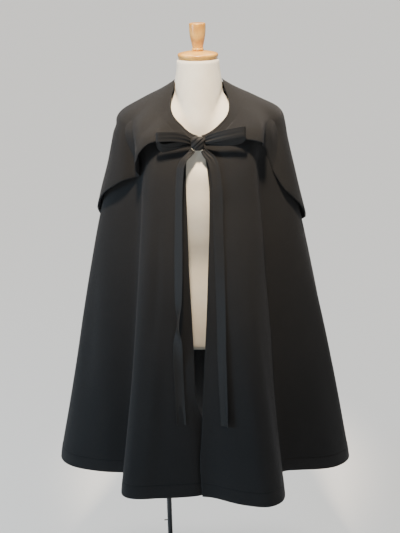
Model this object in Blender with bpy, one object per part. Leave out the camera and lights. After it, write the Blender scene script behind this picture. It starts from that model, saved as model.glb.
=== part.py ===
"""A hooded cloak tied with a ribbon bow, worn by a limbless dress form on a stand.

Units are metres, +Z is up and the front faces -Y. The origin is the middle of the base plate's underside.
"Right" and "left" are the wearer's, so the right front lies at -X.
An angle runs round the form's upright axis: 0 degrees is the front, 90 the wearer's left, 180 the back.
"""

import math
from collections import namedtuple

import bpy
from mathutils import Vector

# Cloth, ribbon and clearances
CLOTH = 0.0015
RIBBON = 0.0010
SEAM_GAP = 0.0003
REST_GAP = 0.0009

# Overall heights
HEM_HEIGHT = 0.406
TORSO_BOTTOM = 0.766
NECK_TOP = 1.490

# Angles of the seams, and the steps used to follow the cloak's surface
SIDE_SEAM = 90.0
BACK_MIDDLE = 180.0
FRONT_LIMIT = 60.0
HALVINGS = 30
PLACE_PASSES = 6
RUN_STEPS = 240
SLOPE_TURN = 0.5
SLOPE_DROP = 0.04

# The cloak's body, from the neckline out over the shoulders and down to the hem
Ring = namedtuple("Ring", "name z_front z_side z_back half_width front back square")
BODY_RINGS = (
    Ring("neckline", 1.318, 1.406, 1.424, 0.069, 0.080, 0.066, 2.00),
    Ring("yoke", 1.303, 1.397, 1.409, 0.100, 0.089, 0.073, 2.00),
    Ring("middle of shoulder", 1.281, 1.381, 1.387, 0.145, 0.100, 0.084, 2.10),
    Ring("shoulder edge", 1.258, 1.359, 1.354, 0.184, 0.110, 0.098, 2.25),
    Ring("shoulder turn", 1.232, 1.334, 1.315, 0.195, 0.119, 0.112, 2.35),
    Ring("upper arm", 1.190, 1.285, 1.262, 0.2075, 0.129, 0.124, 2.35),
    Ring("arm", 1.120, 1.175, 1.170, 0.2350, 0.138, 0.138, 2.30),
    Ring("elbow", 1.045, 1.080, 1.070, 0.2600, 0.146, 0.151, 2.25),
    Ring("waist", 0.945, 0.950, 0.950, 0.2890, 0.157, 0.166, 2.20),
    Ring("hip", 0.830, 0.830, 0.830, 0.3140, 0.170, 0.182, 2.15),
    Ring("thigh", 0.700, 0.700, 0.700, 0.3395, 0.185, 0.199, 2.10),
    Ring("knee", 0.560, 0.560, 0.560, 0.3690, 0.201, 0.216, 2.10),
    Ring("above the hem", 0.446, 0.446, 0.446, 0.3945, 0.214, 0.230, 2.10),
    Ring("hem", HEM_HEIGHT, HEM_HEIGHT, HEM_HEIGHT, 0.4020, 0.218, 0.235, 2.10),
)
# The neckline is fuller at the collarbones and closer at the sides of the neck
NeckEase = namedtuple("NeckEase", "angle right left")
NECK_EASES = (
    NeckEase(0, 0.000, 0.000),
    NeckEase(15, 0.002, 0.003),
    NeckEase(30, 0.006, 0.011),
    NeckEase(45, 0.014, 0.019),
    NeckEase(60, 0.010, 0.014),
    NeckEase(75, 0.001, 0.003),
    NeckEase(90, -0.006, -0.006),
    NeckEase(105, -0.008, -0.009),
    NeckEase(120, -0.007, -0.008),
    NeckEase(140, -0.004, -0.004),
    NeckEase(180, 0.000, 0.000),
)
NECK_EASE_LEVELS = 1.5
LAST_LEVEL = len(BODY_RINGS) - 1
BODY_LEVELS = (0, 0.5, 1, 1.5, 2, 2.5, 3, 3.4, 3.8, 4.3, 5, 6, 7, 8, 9, 10, 11, 12, 13)

# Each fold adds its depth at the hem, and grows from where it starts
Fold = namedtuple("Fold", "name angle width depth start growth")
FOLDS = (
    Fold("right front swell", -28, 12, 0.010, 1.15, 1.0),
    Fold("right front corner", -44, 10, 0.030, 1.31, 1.0),
    Fold("right arm valley", -66, 12, -0.107, 1.345, 0.5),
    Fold("right side ease", -93, 24, 0.0065, 1.26, 0.2),
    Fold("left front ease", 17, 11, 0.022, 1.15, 1.2),
    Fold("left front swell", 33, 14, 0.064, 1.20, 1.2),
    Fold("left front tuck", 51, 7, -0.030, 1.10, 1.0),
    Fold("left arm valley", 63, 9.0, -0.095, 1.345, 0.5),
    Fold("left side ease", 92, 22, -0.0030, 1.26, 0.2),
    Fold("right back hollow", -117, 11, -0.040, 1.12, 0.8),
    Fold("right back ridge", -146, 13, 0.026, 1.08, 1.0),
    Fold("middle back hollow", 178, 15, -0.115, 1.10, 1.0),
    Fold("left back ridge", 143, 12, 0.030, 1.08, 1.0),
    Fold("left back hollow", 113, 10, -0.046, 1.12, 0.8),
)
# A fold starts softly, over this drop
FOLD_ONSET = 0.09

# Where the two front edges hang
# Below the trunk the right edge curls in behind the left one, by the tuck
FrontEdge = namedtuple("FrontEdge", "z right left tuck")
FRONT_EDGES = (
    FrontEdge(1.330, -0.0090, 0.0060, 0.000),
    FrontEdge(1.290, -0.0220, 0.0075, 0.000),
    FrontEdge(1.270, -0.0310, 0.0125, 0.000),
    FrontEdge(1.250, -0.0337, 0.0162, 0.000),
    FrontEdge(1.200, -0.0352, 0.0206, 0.000),
    FrontEdge(1.100, -0.0338, 0.0188, 0.000),
    FrontEdge(1.000, -0.0327, 0.0139, 0.000),
    FrontEdge(0.900, -0.0290, 0.0091, 0.000),
    FrontEdge(0.800, -0.0261, 0.0032, 0.000),
    FrontEdge(0.740, -0.0245, -0.0005, 0.002),
    FrontEdge(0.700, -0.0190, -0.0025, 0.007),
    FrontEdge(0.650, -0.0080, -0.0052, 0.012),
    FrontEdge(0.600, 0.0010, -0.0078, 0.015),
    FrontEdge(0.500, 0.0080, -0.0155, 0.018),
    FrontEdge(0.400, 0.0140, -0.0105, 0.018),
)
# The tuck's share at the edge's own column and at those beside it
TUCK_SHARES = (1.0, 0.35)
# Columns keep their angle at every level, apart from those between a front edge and this angle
EDGE_REACH = 24.0
EDGE_COLUMNS = 4
FRONT_COLUMNS = 14
BACK_COLUMNS = 29

# The hood lies dropped and spread over the shoulders: an outer layer from the face edge at the neck down to
# a fold, and an under layer back up to the neck seam
HoodLine = namedtuple("HoodLine", "angle fold_z start_level")
HOOD_RIGHT_LINES = (
    HoodLine(0, 1.309, 0.00),
    HoodLine(20, 1.309, 0.00),
    HoodLine(40, 1.310, 0.00),
    HoodLine(50, 1.304, 0.00),
    HoodLine(54, 1.284, 0.00),
    HoodLine(57, 1.243, 0.00),
    HoodLine(62, 1.226, 0.00),
    HoodLine(70, 1.212, 0.00),
    HoodLine(78, 1.184, 0.00),
    HoodLine(84, 1.157, 0.00),
    HoodLine(92, 1.122, 0.00),
    HoodLine(108, 1.066, 0.15),
    HoodLine(130, 1.026, 0.70),
    HoodLine(155, 0.992, 1.50),
    HoodLine(180, 0.975, 1.90),
)
HOOD_LEFT_LINES = (
    HoodLine(0, 1.309, 0.00),
    HoodLine(20, 1.309, 0.00),
    HoodLine(40, 1.310, 0.00),
    HoodLine(52, 1.307, 0.00),
    HoodLine(60, 1.298, 0.00),
    HoodLine(65, 1.276, 0.00),
    HoodLine(68, 1.225, 0.00),
    HoodLine(71, 1.185, 0.00),
    HoodLine(78, 1.140, 0.00),
    HoodLine(84, 1.110, 0.00),
    HoodLine(92, 1.085, 0.00),
    HoodLine(108, 1.050, 0.15),
    HoodLine(130, 1.020, 0.70),
    HoodLine(155, 0.992, 1.50),
    HoodLine(180, 0.975, 1.90),
)
# The hood spans the valleys of the cloak below it, and goes into them by this share of their depth
HOOD_FOLLOW = 0.45
# How far into the space that it spans the under layer may go
HOOD_UNDER_REACH = 0.8
# How far the outer layer stands off the cloak, from the face edge to the fold
HoodPuff = namedtuple("HoodPuff", "angle rim upper middle lower fold")
HOOD_PUFFS = (
    HoodPuff(0, 0.0075, 0.0080, 0.0085, 0.0090, 0.0090),
    HoodPuff(30, 0.0075, 0.0085, 0.0100, 0.0120, 0.0130),
    HoodPuff(50, 0.0075, 0.0095, 0.0110, 0.0140, 0.0160),
    HoodPuff(70, 0.0075, 0.0100, 0.0110, 0.0110, 0.0110),
    HoodPuff(90, 0.0080, 0.0110, 0.0120, 0.0105, 0.0110),
    HoodPuff(105, 0.0090, 0.0125, 0.0130, 0.0120, 0.0110),
    HoodPuff(120, 0.0110, 0.0150, 0.0160, 0.0140, 0.0095),
    HoodPuff(135, 0.0180, 0.0260, 0.0260, 0.0200, 0.0105),
    HoodPuff(150, 0.0420, 0.0450, 0.0400, 0.0280, 0.0110),
    HoodPuff(165, 0.0630, 0.0610, 0.0500, 0.0340, 0.0115),
    HoodPuff(180, 0.0720, 0.0680, 0.0540, 0.0360, 0.0120),
)
# Beside the neck the face edge climbs and leans in against the neck
HoodRim = namedtuple("HoodRim", "angle rise inward")
HOOD_RIMS = (
    HoodRim(0, 0.000, 0.000),
    HoodRim(40, 0.000, 0.000),
    HoodRim(60, 0.006, 0.004),
    HoodRim(75, 0.019, 0.010),
    HoodRim(90, 0.028, 0.0072),
    HoodRim(105, 0.024, 0.005),
    HoodRim(120, 0.012, 0.001),
    HoodRim(140, 0.000, 0.000),
    HoodRim(180, 0.000, 0.000),
)
# The climb dies out over this share of the way to the fold
HOOD_RIM_SHARE = 0.36
# The hood's own main folds. Each runs from one angle at the face edge to another at the fold, and its top and
# bottom are shares of the way between the two
HoodCrease = namedtuple("HoodCrease", "angle fold_angle top bottom width depth")
HOOD_CREASES = (
    HoodCrease(-75, -61, 0.42, 1.62, 5.6, -0.0155),
    HoodCrease(-60, -49, 0.20, 1.70, 8.0, 0.0100),
    HoodCrease(-90, -77, 0.42, 1.60, 7.5, 0.0060),
    HoodCrease(-122, -120, 0.30, 1.60, 7.0, 0.0045),
    HoodCrease(-138, -150, 0.10, 1.30, 6.0, -0.0060),
    HoodCrease(-160, -172, 0.20, 1.40, 6.0, 0.0050),
    HoodCrease(78, 63, 0.42, 1.62, 5.2, -0.0155),
    HoodCrease(62, 52, 0.20, 1.70, 8.0, 0.0090),
    HoodCrease(91, 79, 0.45, 1.60, 7.0, 0.0050),
    HoodCrease(89, 89, 0.25, 0.80, 14.0, 0.0045),
    HoodCrease(119, 124, 0.20, 1.50, 6.0, 0.0042),
    HoodCrease(140, 152, 0.15, 1.30, 6.0, -0.0058),
    HoodCrease(163, 171, 0.25, 1.40, 6.0, 0.0046),
)
HOOD_START = 4.0
# Rows of both layers, as shares of the way to the fold, closer together over the shoulder's turn
HOOD_SHARES = (0.0, 0.15, 0.30, 0.41, 0.51, 0.61, 0.72, 0.85, 1.0)
HOOD_FOLD_STEPS = 2
# The middle seam's gap is set where the hood is nearest the upright axis
HOOD_SEAM_LEVEL = 0.0
HOOD_LIFT = 0.0028
HOOD_LAYER_GAP = 0.0012

# The ribbon: two ties that leave the neck seam, knot at the front and hang
KNOT_CENTRE = Vector((-0.0040, -0.1085, 1.3065))
KNOT_SIZE = Vector((0.0340, 0.0180, 0.0350))
# Powers below one square the knot's round outline, in plan and in height
KNOT_PLAN_POWER = 0.8
KNOT_HEIGHT_POWER = 0.7
KNOT_ROWS = 9
KNOT_SIDES = 16
TailPoint = namedtuple("TailPoint", "z x lift turn width")
RIGHT_TAIL = (
    TailPoint(1.2855, -0.0170, 0.0125, 12, 0.0130),
    TailPoint(1.2780, -0.0265, 0.0095, 25, 0.0180),
    TailPoint(1.2670, -0.0395, 0.0060, 40, 0.0225),
    TailPoint(1.2500, -0.0480, 0.0050, 46, 0.0240),
    TailPoint(1.2000, -0.0512, 0.0050, 42, 0.0240),
    TailPoint(1.1000, -0.0546, 0.0045, 36, 0.0240),
    TailPoint(1.0000, -0.0585, 0.0045, 35, 0.0240),
    TailPoint(0.9200, -0.0615, 0.0060, 55, 0.0240),
    TailPoint(0.8500, -0.0650, 0.0050, 25, 0.0240),
    TailPoint(0.7600, -0.0648, 0.0020, 4, 0.0240),
    TailPoint(0.6050, -0.0606, 0.0012, 0, 0.0240),
)
LEFT_TAIL = (
    TailPoint(1.2857, 0.0085, 0.0125, -8, 0.0130),
    TailPoint(1.2775, 0.0160, 0.0095, -12, 0.0180),
    TailPoint(1.2670, 0.0275, 0.0060, -10, 0.0225),
    TailPoint(1.2500, 0.0340, 0.0045, -6, 0.0240),
    TailPoint(1.2000, 0.0400, 0.0035, 0, 0.0240),
    TailPoint(1.1000, 0.0410, 0.0018, 0, 0.0240),
    TailPoint(1.0000, 0.0430, 0.0013, 0, 0.0240),
    TailPoint(0.9000, 0.0447, 0.0016, 4, 0.0240),
    TailPoint(0.8000, 0.0459, 0.0035, 8, 0.0240),
    TailPoint(0.7000, 0.0480, 0.0035, 14, 0.0240),
    TailPoint(0.6100, 0.0508, 0.0040, 22, 0.0240),
)
TAIL_STEP = 0.035
# Above one, this crowds a tail's rows towards the knot
TAIL_CROWDING = 1.35
LOOP_STEPS = 20
# A loop runs out along its front layer, turns, and comes back along its rear layer
LoopPoint = namedtuple("LoopPoint", "x y z width lean")
RIGHT_LOOP = (
    LoopPoint(-0.0222, -0.1120, 1.3150, 0.0170, 0),
    LoopPoint(-0.0340, -0.1185, 1.3225, 0.0215, 3),
    LoopPoint(-0.0600, -0.1275, 1.3290, 0.0235, 4),
    LoopPoint(-0.0890, -0.1320, 1.3300, 0.0240, 2),
    LoopPoint(-0.0990, -0.1315, 1.3290, 0.0240, 0),
    LoopPoint(-0.1020, -0.1275, 1.3240, 0.0240, -6),
    LoopPoint(-0.0985, -0.1240, 1.3110, 0.0235, -12),
    LoopPoint(-0.0870, -0.1220, 1.2975, 0.0215, -14),
    LoopPoint(-0.0620, -0.1175, 1.2960, 0.0180, -12),
    LoopPoint(-0.0370, -0.1115, 1.3020, 0.0150, -8),
    LoopPoint(-0.0222, -0.1060, 1.3060, 0.0130, 0),
)
LEFT_LOOP = (
    LoopPoint(0.0135, -0.1120, 1.3150, 0.0170, 0),
    LoopPoint(0.0290, -0.1185, 1.3210, 0.0215, 4),
    LoopPoint(0.0580, -0.1275, 1.3300, 0.0235, 6),
    LoopPoint(0.0940, -0.1320, 1.3375, 0.0240, 3),
    LoopPoint(0.1045, -0.1315, 1.3385, 0.0240, 0),
    LoopPoint(0.1075, -0.1275, 1.3345, 0.0240, -8),
    LoopPoint(0.1040, -0.1240, 1.3245, 0.0235, -12),
    LoopPoint(0.0910, -0.1225, 1.3140, 0.0225, -14),
    LoopPoint(0.0600, -0.1180, 1.3060, 0.0195, -12),
    LoopPoint(0.0320, -0.1120, 1.3065, 0.0155, -6),
    LoopPoint(0.0135, -0.1060, 1.3075, 0.0130, 0),
)

# The dress form: its own neck above the neckline, the cloak's own shoulders under it, its own trunk below
NECK_RINGS = (
    Ring("neck top rim", NECK_TOP, NECK_TOP, NECK_TOP, 0.0475, 0.0475, 0.0475, 2.0),
    Ring("neck top", 1.487, 1.487, 1.487, 0.0505, 0.0500, 0.0505, 2.0),
    Ring("upper neck", 1.466, 1.467, 1.470, 0.0525, 0.0525, 0.0520, 2.0),
    Ring("neck", 1.432, 1.442, 1.454, 0.0560, 0.0565, 0.0545, 2.0),
    Ring("neck root", 1.385, 1.427, 1.442, 0.0575, 0.0630, 0.0570, 2.0),
    Ring("throat", 1.345, 1.415, 1.432, 0.0585, 0.0715, 0.0600, 2.0),
)
SHOULDER_LEVELS = (0, 0.5, 1, 1.5, 2, 2.5, 3)
# The cloak rests on the shoulders and hangs this much further off at the middle of the front
CHEST_EASE = 0.006
TRUNK_RINGS = (
    Ring("armhole top", 1.232, 1.330, 1.315, 0.1860, 0.1130, 0.1040, 2.00),
    Ring("arm plate", 1.195, 1.270, 1.258, 0.1670, 0.1170, 0.1080, 2.00),
    Ring("bust", 1.140, 1.180, 1.180, 0.1480, 0.1190, 0.1040, 2.05),
    Ring("under bust", 1.075, 1.085, 1.090, 0.1320, 0.1080, 0.0880, 2.05),
    Ring("waist", 1.000, 1.000, 1.000, 0.1200, 0.0930, 0.0760, 2.05),
    Ring("upper hip", 0.920, 0.920, 0.920, 0.1440, 0.1000, 0.0930, 2.10),
    Ring("hip", 0.845, 0.845, 0.845, 0.1650, 0.1070, 0.1080, 2.15),
    Ring("bottom edge", 0.790, 0.790, 0.790, 0.1670, 0.1080, 0.1090, 2.15),
    Ring("bottom round", 0.771, 0.771, 0.771, 0.1610, 0.1030, 0.1040, 2.15),
    Ring("underside rim", TORSO_BOTTOM, TORSO_BOTTOM, TORSO_BOTTOM, 0.1500, 0.0930, 0.0940, 2.15),
)

# The turned wooden cap and knob, as radius and height above the neck
TurnedPoint = namedtuple("TurnedPoint", "radius height")
CAP_PROFILE = (
    TurnedPoint(0.0440, 0.0000),
    TurnedPoint(0.0465, 0.0010),
    TurnedPoint(0.0480, 0.0045),
    TurnedPoint(0.0488, 0.0085),
    TurnedPoint(0.0478, 0.0115),
    TurnedPoint(0.0440, 0.0135),
    TurnedPoint(0.0300, 0.0165),
    TurnedPoint(0.0190, 0.0180),
    TurnedPoint(0.0140, 0.0186),
)
KNOB_PROFILE = (
    TurnedPoint(0.0125, 0.0000),
    TurnedPoint(0.0138, 0.0020),
    TurnedPoint(0.0140, 0.0045),
    TurnedPoint(0.0128, 0.0060),
    TurnedPoint(0.0130, 0.0090),
    TurnedPoint(0.0155, 0.0200),
    TurnedPoint(0.0182, 0.0330),
    TurnedPoint(0.0196, 0.0460),
    TurnedPoint(0.0198, 0.0580),
    TurnedPoint(0.0192, 0.0625),
    TurnedPoint(0.0175, 0.0640),
)
CAP_SIDES = 40
KNOB_SIDES = 28

# The stand: a pole set off to the wearer's right, on a round plate
POLE_X = -0.108
POLE_RADIUS = 0.0070
POLE_SIDES = 24
SOCKET_PROFILE = (
    TurnedPoint(0.0290, 0.0000),
    TurnedPoint(0.0290, -0.0030),
    TurnedPoint(0.0280, -0.0040),
    TurnedPoint(0.0130, -0.0040),
    TurnedPoint(0.0120, -0.0060),
    TurnedPoint(0.0120, -0.0260),
    TurnedPoint(0.0108, -0.0275),
)
PIN_HEIGHT = 0.181
PIN_RADIUS = 0.0016
PIN_LENGTH = 0.009
PIN_SIDES = 12
BASE_RADIUS = 0.160
BASE_THICKNESS = 0.008
BASE_ROUND = 0.003
BASE_SIDES = 72
BOSS_PROFILE = (
    TurnedPoint(0.0220, 0.0000),
    TurnedPoint(0.0220, 0.0040),
    TurnedPoint(0.0150, 0.0100),
    TurnedPoint(0.0130, 0.0220),
    TurnedPoint(0.0118, 0.0235),
)

# Colours are linear RGB, then roughness
BLACK_CLOTH = ("black twill", (0.012, 0.012, 0.014), 0.80)
BLACK_RIBBON = ("black ribbon", (0.010, 0.010, 0.011), 0.60)
FORM_LINEN = ("form linen", (0.78, 0.72, 0.60), 0.85)
PALE_WOOD = ("turned wood", (0.60, 0.33, 0.12), 0.40)
BLACK_STEEL = ("black steel", (0.020, 0.020, 0.022), 0.45)


def clear_scene():
    for old in list(bpy.data.objects):
        bpy.data.objects.remove(old)


def material(spec):
    name, colour, roughness = spec
    made = bpy.data.materials.get(name) or bpy.data.materials.new(name)
    made.use_nodes = True
    shader = made.node_tree.nodes["Principled BSDF"]
    shader.inputs["Base Color"].default_value = (*colour, 1.0)
    shader.inputs["Roughness"].default_value = roughness
    return made


def curve_value(values, position):
    """A Catmull-Rom curve through evenly spaced values, read at a position counted in values."""
    last = len(values) - 1
    position = min(max(position, 0.0), float(last))
    i = min(int(position), last - 1)
    t = position - i
    b, c = values[i], values[i + 1]
    a = values[i - 1] if i > 0 else 2 * b - c
    d = values[i + 2] if i + 2 <= last else 2 * c - b
    return b + 0.5 * t * (c - a + t * (2 * a - 5 * b + 4 * c - d + t * (3 * (b - c) + d - a)))


def table_position(keys, key):
    """Where a key lies in a rising or falling column, counted in rows."""
    sign = 1 if keys[-1] > keys[0] else -1
    if sign * (key - keys[0]) <= 0:
        return 0.0
    for i in range(len(keys) - 1):
        if sign * (key - keys[i + 1]) <= 0:
            return i + (key - keys[i]) / (keys[i + 1] - keys[i])
    return float(len(keys) - 1)


def smooth_row(rows, key):
    """One value for each later column, read smoothly at a key in the first column."""
    position = table_position([row[0] for row in rows], key)
    return [curve_value([row[k] for row in rows], position) for k in range(1, len(rows[0]))]


def outward(degrees):
    """The level direction away from the upright axis at an angle."""
    turn = math.radians(degrees)
    return Vector((math.sin(turn), -math.cos(turn), 0))


def ring_point(ring, degrees):
    """The point of a ring, given as its seven sizes, at an angle."""
    z_front, z_side, z_back, half_width, front, back, square = ring
    s, c = math.sin(math.radians(degrees)), math.cos(math.radians(degrees))
    depth, z_middle = (front, z_front) if c >= 0 else (back, z_back)
    z = z_side + (z_middle - z_side) * c * c
    radius = (abs(s / half_width) ** square + abs(c / depth) ** square) ** (-1 / square)
    return Vector((radius * s, -radius * c, z))


def eased(share):
    """A smooth step from 0 to 1."""
    share = min(max(share, 0.0), 1.0)
    return share * share * (3 - 2 * share)


def bell(degrees, middle, width):
    away = (degrees - middle + 180) % 360 - 180
    return math.exp(-((away / width) ** 2))


def fold_depth(degrees, z, follow):
    """How far the folds move the cloth out. Valleys are followed by a share of their depth."""
    total = 0.0
    for fold in FOLDS:
        share = min(max((fold.start - z) / (fold.start - HEM_HEIGHT), 0.0), 1.0)
        grown = share**fold.growth * eased((fold.start - z) / FOLD_ONSET)
        depth = fold.depth if fold.depth > 0 else fold.depth * follow
        total += depth * grown * bell(degrees, fold.angle, fold.width)
    return total


def body_ring(level):
    return [curve_value([ring[k] for ring in BODY_RINGS], level) for k in range(1, len(Ring._fields))]


def body_point(degrees, level, follow=1.0):
    """The outer face of the cloak, or with a smaller follow a surface that spans its valleys."""
    place = ring_point(body_ring(level), degrees)
    out = fold_depth(degrees, place.z, follow)
    if level < NECK_EASE_LEVELS:
        away = (degrees + 180) % 360 - 180
        right, left = smooth_row(NECK_EASES, abs(away))
        out += (left if away > 0 else right) * (1 - level / NECK_EASE_LEVELS)
    return place + out * outward(degrees)


def body_normal(degrees, level, follow=1.0):
    """The direction out of the cloak, from its slopes round and down."""
    low, high = max(level - SLOPE_DROP, 0.0), min(level + SLOPE_DROP, float(LAST_LEVEL))
    before = body_point(degrees - SLOPE_TURN, level, follow)
    beyond = body_point(degrees + SLOPE_TURN, level, follow)
    down = body_point(degrees, high, follow) - body_point(degrees, low, follow)
    return down.cross(beyond - before).normalized()


def body_offset(degrees, level, out):
    return body_point(degrees, level) + out * body_normal(degrees, level)


def level_at(degrees, z):
    """The level at which the cloak passes a height, at an angle."""
    low, high = 0.0, float(LAST_LEVEL)
    for _ in range(HALVINGS):
        middle = (low + high) / 2
        if ring_point(body_ring(middle), degrees).z > z:
            low = middle
        else:
            high = middle
    return (low + high) / 2


def front_angle(x, level):
    """The angle at which the cloak's front has this x at a level."""
    low, high = -FRONT_LIMIT, FRONT_LIMIT
    for _ in range(HALVINGS):
        middle = (low + high) / 2
        if body_point(middle, level).x < x:
            low = middle
        else:
            high = middle
    return (low + high) / 2


def front_place(x, z):
    """The angle and level of the point on the cloak's front that has this x and z."""
    degrees = 0.0
    for _ in range(PLACE_PASSES):
        level = level_at(degrees, z)
        degrees = front_angle(x, level)
    return degrees, level_at(degrees, z)


def add_mesh(name, points, faces, spec, smooth_angle=40):
    mesh = bpy.data.meshes.new(name)
    mesh.from_pydata([tuple(p) for p in points], [], faces)
    mesh.validate()
    mesh.shade_smooth()
    mesh.set_sharp_from_angle(angle=math.radians(smooth_angle))
    made = bpy.data.objects.new(name, mesh)
    bpy.context.scene.collection.objects.link(made)
    made.data.materials.append(material(spec))
    return made


def add_sheet(name, outer, inner, spec):
    """A wall between two grids of points, each a list of rows. The outer grid's faces point out when rows
    run down and columns run from the wearer's right to left as seen from outside the front."""
    rows, columns = len(outer), len(outer[0])
    points = [p for row in outer for p in row] + [p for row in inner for p in row]
    half = rows * columns

    def at(i, j, side=0):
        return side * half + i * columns + j

    faces = []
    for i in range(rows - 1):
        for j in range(columns - 1):
            faces.append((at(i, j), at(i + 1, j), at(i + 1, j + 1), at(i, j + 1)))
            faces.append((at(i, j, 1), at(i, j + 1, 1), at(i + 1, j + 1, 1), at(i + 1, j, 1)))
    for i in range(rows - 1):
        faces.append((at(i, 0), at(i, 0, 1), at(i + 1, 0, 1), at(i + 1, 0)))
        j = columns - 1
        faces.append((at(i, j), at(i + 1, j), at(i + 1, j, 1), at(i, j, 1)))
    for j in range(columns - 1):
        faces.append((at(0, j), at(0, j + 1), at(0, j + 1, 1), at(0, j, 1)))
        i = rows - 1
        faces.append((at(i, j), at(i, j, 1), at(i, j + 1, 1), at(i, j + 1)))
    return add_mesh(name, points, faces, spec)


def spaced_angles(start, end, count, level=LAST_LEVEL):
    """Angles that share out the cloak's length round a level evenly."""
    angles = [start + (end - start) * i / RUN_STEPS for i in range(RUN_STEPS + 1)]
    places = [body_point(a, level) for a in angles]
    run = [0.0]
    for a, b in zip(places, places[1:]):
        run.append(run[-1] + (b - a).length)
    picked = []
    for k in range(count):
        wanted = run[-1] * k / (count - 1)
        position = table_position(run, wanted)
        i = min(int(position), RUN_STEPS - 1)
        picked.append(angles[i] + (angles[i + 1] - angles[i]) * (position - i))
    return picked


def seam_turn(degrees, level):
    """The angle that half a seam's gap takes up at this radius."""
    place = body_point(degrees, level)
    return math.degrees(SEAM_GAP / 2 / math.hypot(place.x, place.y))


def edge_place(side, level):
    """The angle of a front's free edge at a level, and its tuck. Side is -1 for the right one, 1 for the left."""
    right, left, tuck = smooth_row(FRONT_EDGES, body_point(0.0, level).z)
    return (front_angle(right, level), max(tuck, 0.0)) if side < 0 else (front_angle(left, level), 0.0)


def front_stations(side):
    """The columns of a front that keep their angle, from near the middle round to the side seam."""
    return spaced_angles(side * EDGE_REACH, side * SIDE_SEAM, FRONT_COLUMNS)


def back_stations():
    """The back's columns, from the left side seam round to the right one."""
    half = BACK_COLUMNS // 2 + 1
    left = spaced_angles(SIDE_SEAM, BACK_MIDDLE, half)
    right = spaced_angles(BACK_MIDDLE, 360 - SIDE_SEAM, half)
    return left + right[1:]


def build_front(name, side):
    stations = front_stations(side)
    outer, inner = [], []
    for level in BODY_LEVELS:
        edge, tuck = edge_place(side, level)
        reach = stations[0] - edge
        row = [edge + reach * k / EDGE_COLUMNS for k in range(EDGE_COLUMNS)] + stations
        row[-1] -= side * seam_turn(SIDE_SEAM, level)
        ins = [tuck * share for share in TUCK_SHARES] + [0.0] * (len(row) - len(TUCK_SHARES))
        if side < 0:
            row.reverse()
            ins.reverse()
        outer.append([body_offset(a, level, -depth) for a, depth in zip(row, ins)])
        inner.append([body_offset(a, level, -depth - CLOTH) for a, depth in zip(row, ins)])
    return add_sheet(name, outer, inner, BLACK_CLOTH)


def build_back():
    outer, inner = [], []
    for level in BODY_LEVELS:
        row = back_stations()
        row[0] += seam_turn(SIDE_SEAM, level)
        row[-1] -= seam_turn(SIDE_SEAM, level)
        outer.append([body_point(a, level) for a in row])
        inner.append([body_offset(a, level, -CLOTH) for a in row])
    return add_sheet("back", outer, inner, BLACK_CLOTH)


def hood_crease_depth(degrees, share):
    total = 0.0
    for crease in HOOD_CREASES:
        run = min(max((share - crease.top) / (crease.bottom - crease.top), 0.0), 1.0)
        middle = crease.angle + (crease.fold_angle - crease.angle) * share
        total += crease.depth * math.sin(math.pi * run) ** 2 * bell(degrees, middle, crease.width)
    return total


def hood_place(degrees, level, out):
    """A point of the hood, which lies out from the surface that spans the cloak's valleys."""
    return body_point(degrees, level, HOOD_FOLLOW) + out * body_normal(degrees, level, HOOD_FOLLOW)


def hood_section(degrees):
    """One cut through the hood at an angle: the points of its outer face and of its inner face, from the face
    edge down the outer layer, round the fold and up the under layer to the neck seam."""
    lines = HOOD_LEFT_LINES if degrees > 0 else HOOD_RIGHT_LINES
    fold_z, start_level = smooth_row(lines, abs(degrees))
    puffs = smooth_row(HOOD_PUFFS, abs(degrees))
    rise, inward = smooth_row(HOOD_RIMS, abs(degrees))
    fold_level = level_at(degrees, fold_z)
    outer, inner = [], []
    for share in HOOD_SHARES:
        level = start_level + share * (fold_level - start_level)
        out = curve_value(puffs, share * (len(puffs) - 1)) + hood_crease_depth(degrees, share)
        climb = max(1 - share / HOOD_RIM_SHARE, 0.0) ** 2
        moved = Vector((0, 0, rise * climb)) - inward * climb * outward(degrees)
        outer.append(hood_place(degrees, level, out) + moved)
        inner.append(hood_place(degrees, level, out - CLOTH) + moved)
    top = puffs[-1] + hood_crease_depth(degrees, 1.0)
    bottom = top - 2 * CLOTH - HOOD_LAYER_GAP
    middle, thick = (top + bottom) / 2, (top - bottom) / 2
    normal = body_normal(degrees, fold_level, HOOD_FOLLOW)
    root = body_point(degrees, fold_level, HOOD_FOLLOW)
    down = (root - body_point(degrees, fold_level - SLOPE_DROP, HOOD_FOLLOW)).normalized()
    for k in range(1, HOOD_FOLD_STEPS + 1):
        turn = math.pi * k / (HOOD_FOLD_STEPS + 1)
        for points, size in ((outer, thick), (inner, thick - CLOTH)):
            points.append(root + (middle + size * math.cos(turn)) * normal + size * math.sin(turn) * down)
    plain_bottom = puffs[-1] - 2 * CLOTH - HOOD_LAYER_GAP
    for share in reversed(HOOD_SHARES):
        level = share * fold_level
        spanned = (body_point(degrees, level, HOOD_FOLLOW) - body_point(degrees, level)).length
        plain = HOOD_LIFT + (plain_bottom - HOOD_LIFT) * share**2
        lowest = HOOD_LIFT - HOOD_UNDER_REACH * spanned
        out = max(plain + hood_crease_depth(degrees, share), lowest)
        outer.append(hood_place(degrees, level, out))
        inner.append(hood_place(degrees, level, out + CLOTH))
    return outer, inner


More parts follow.
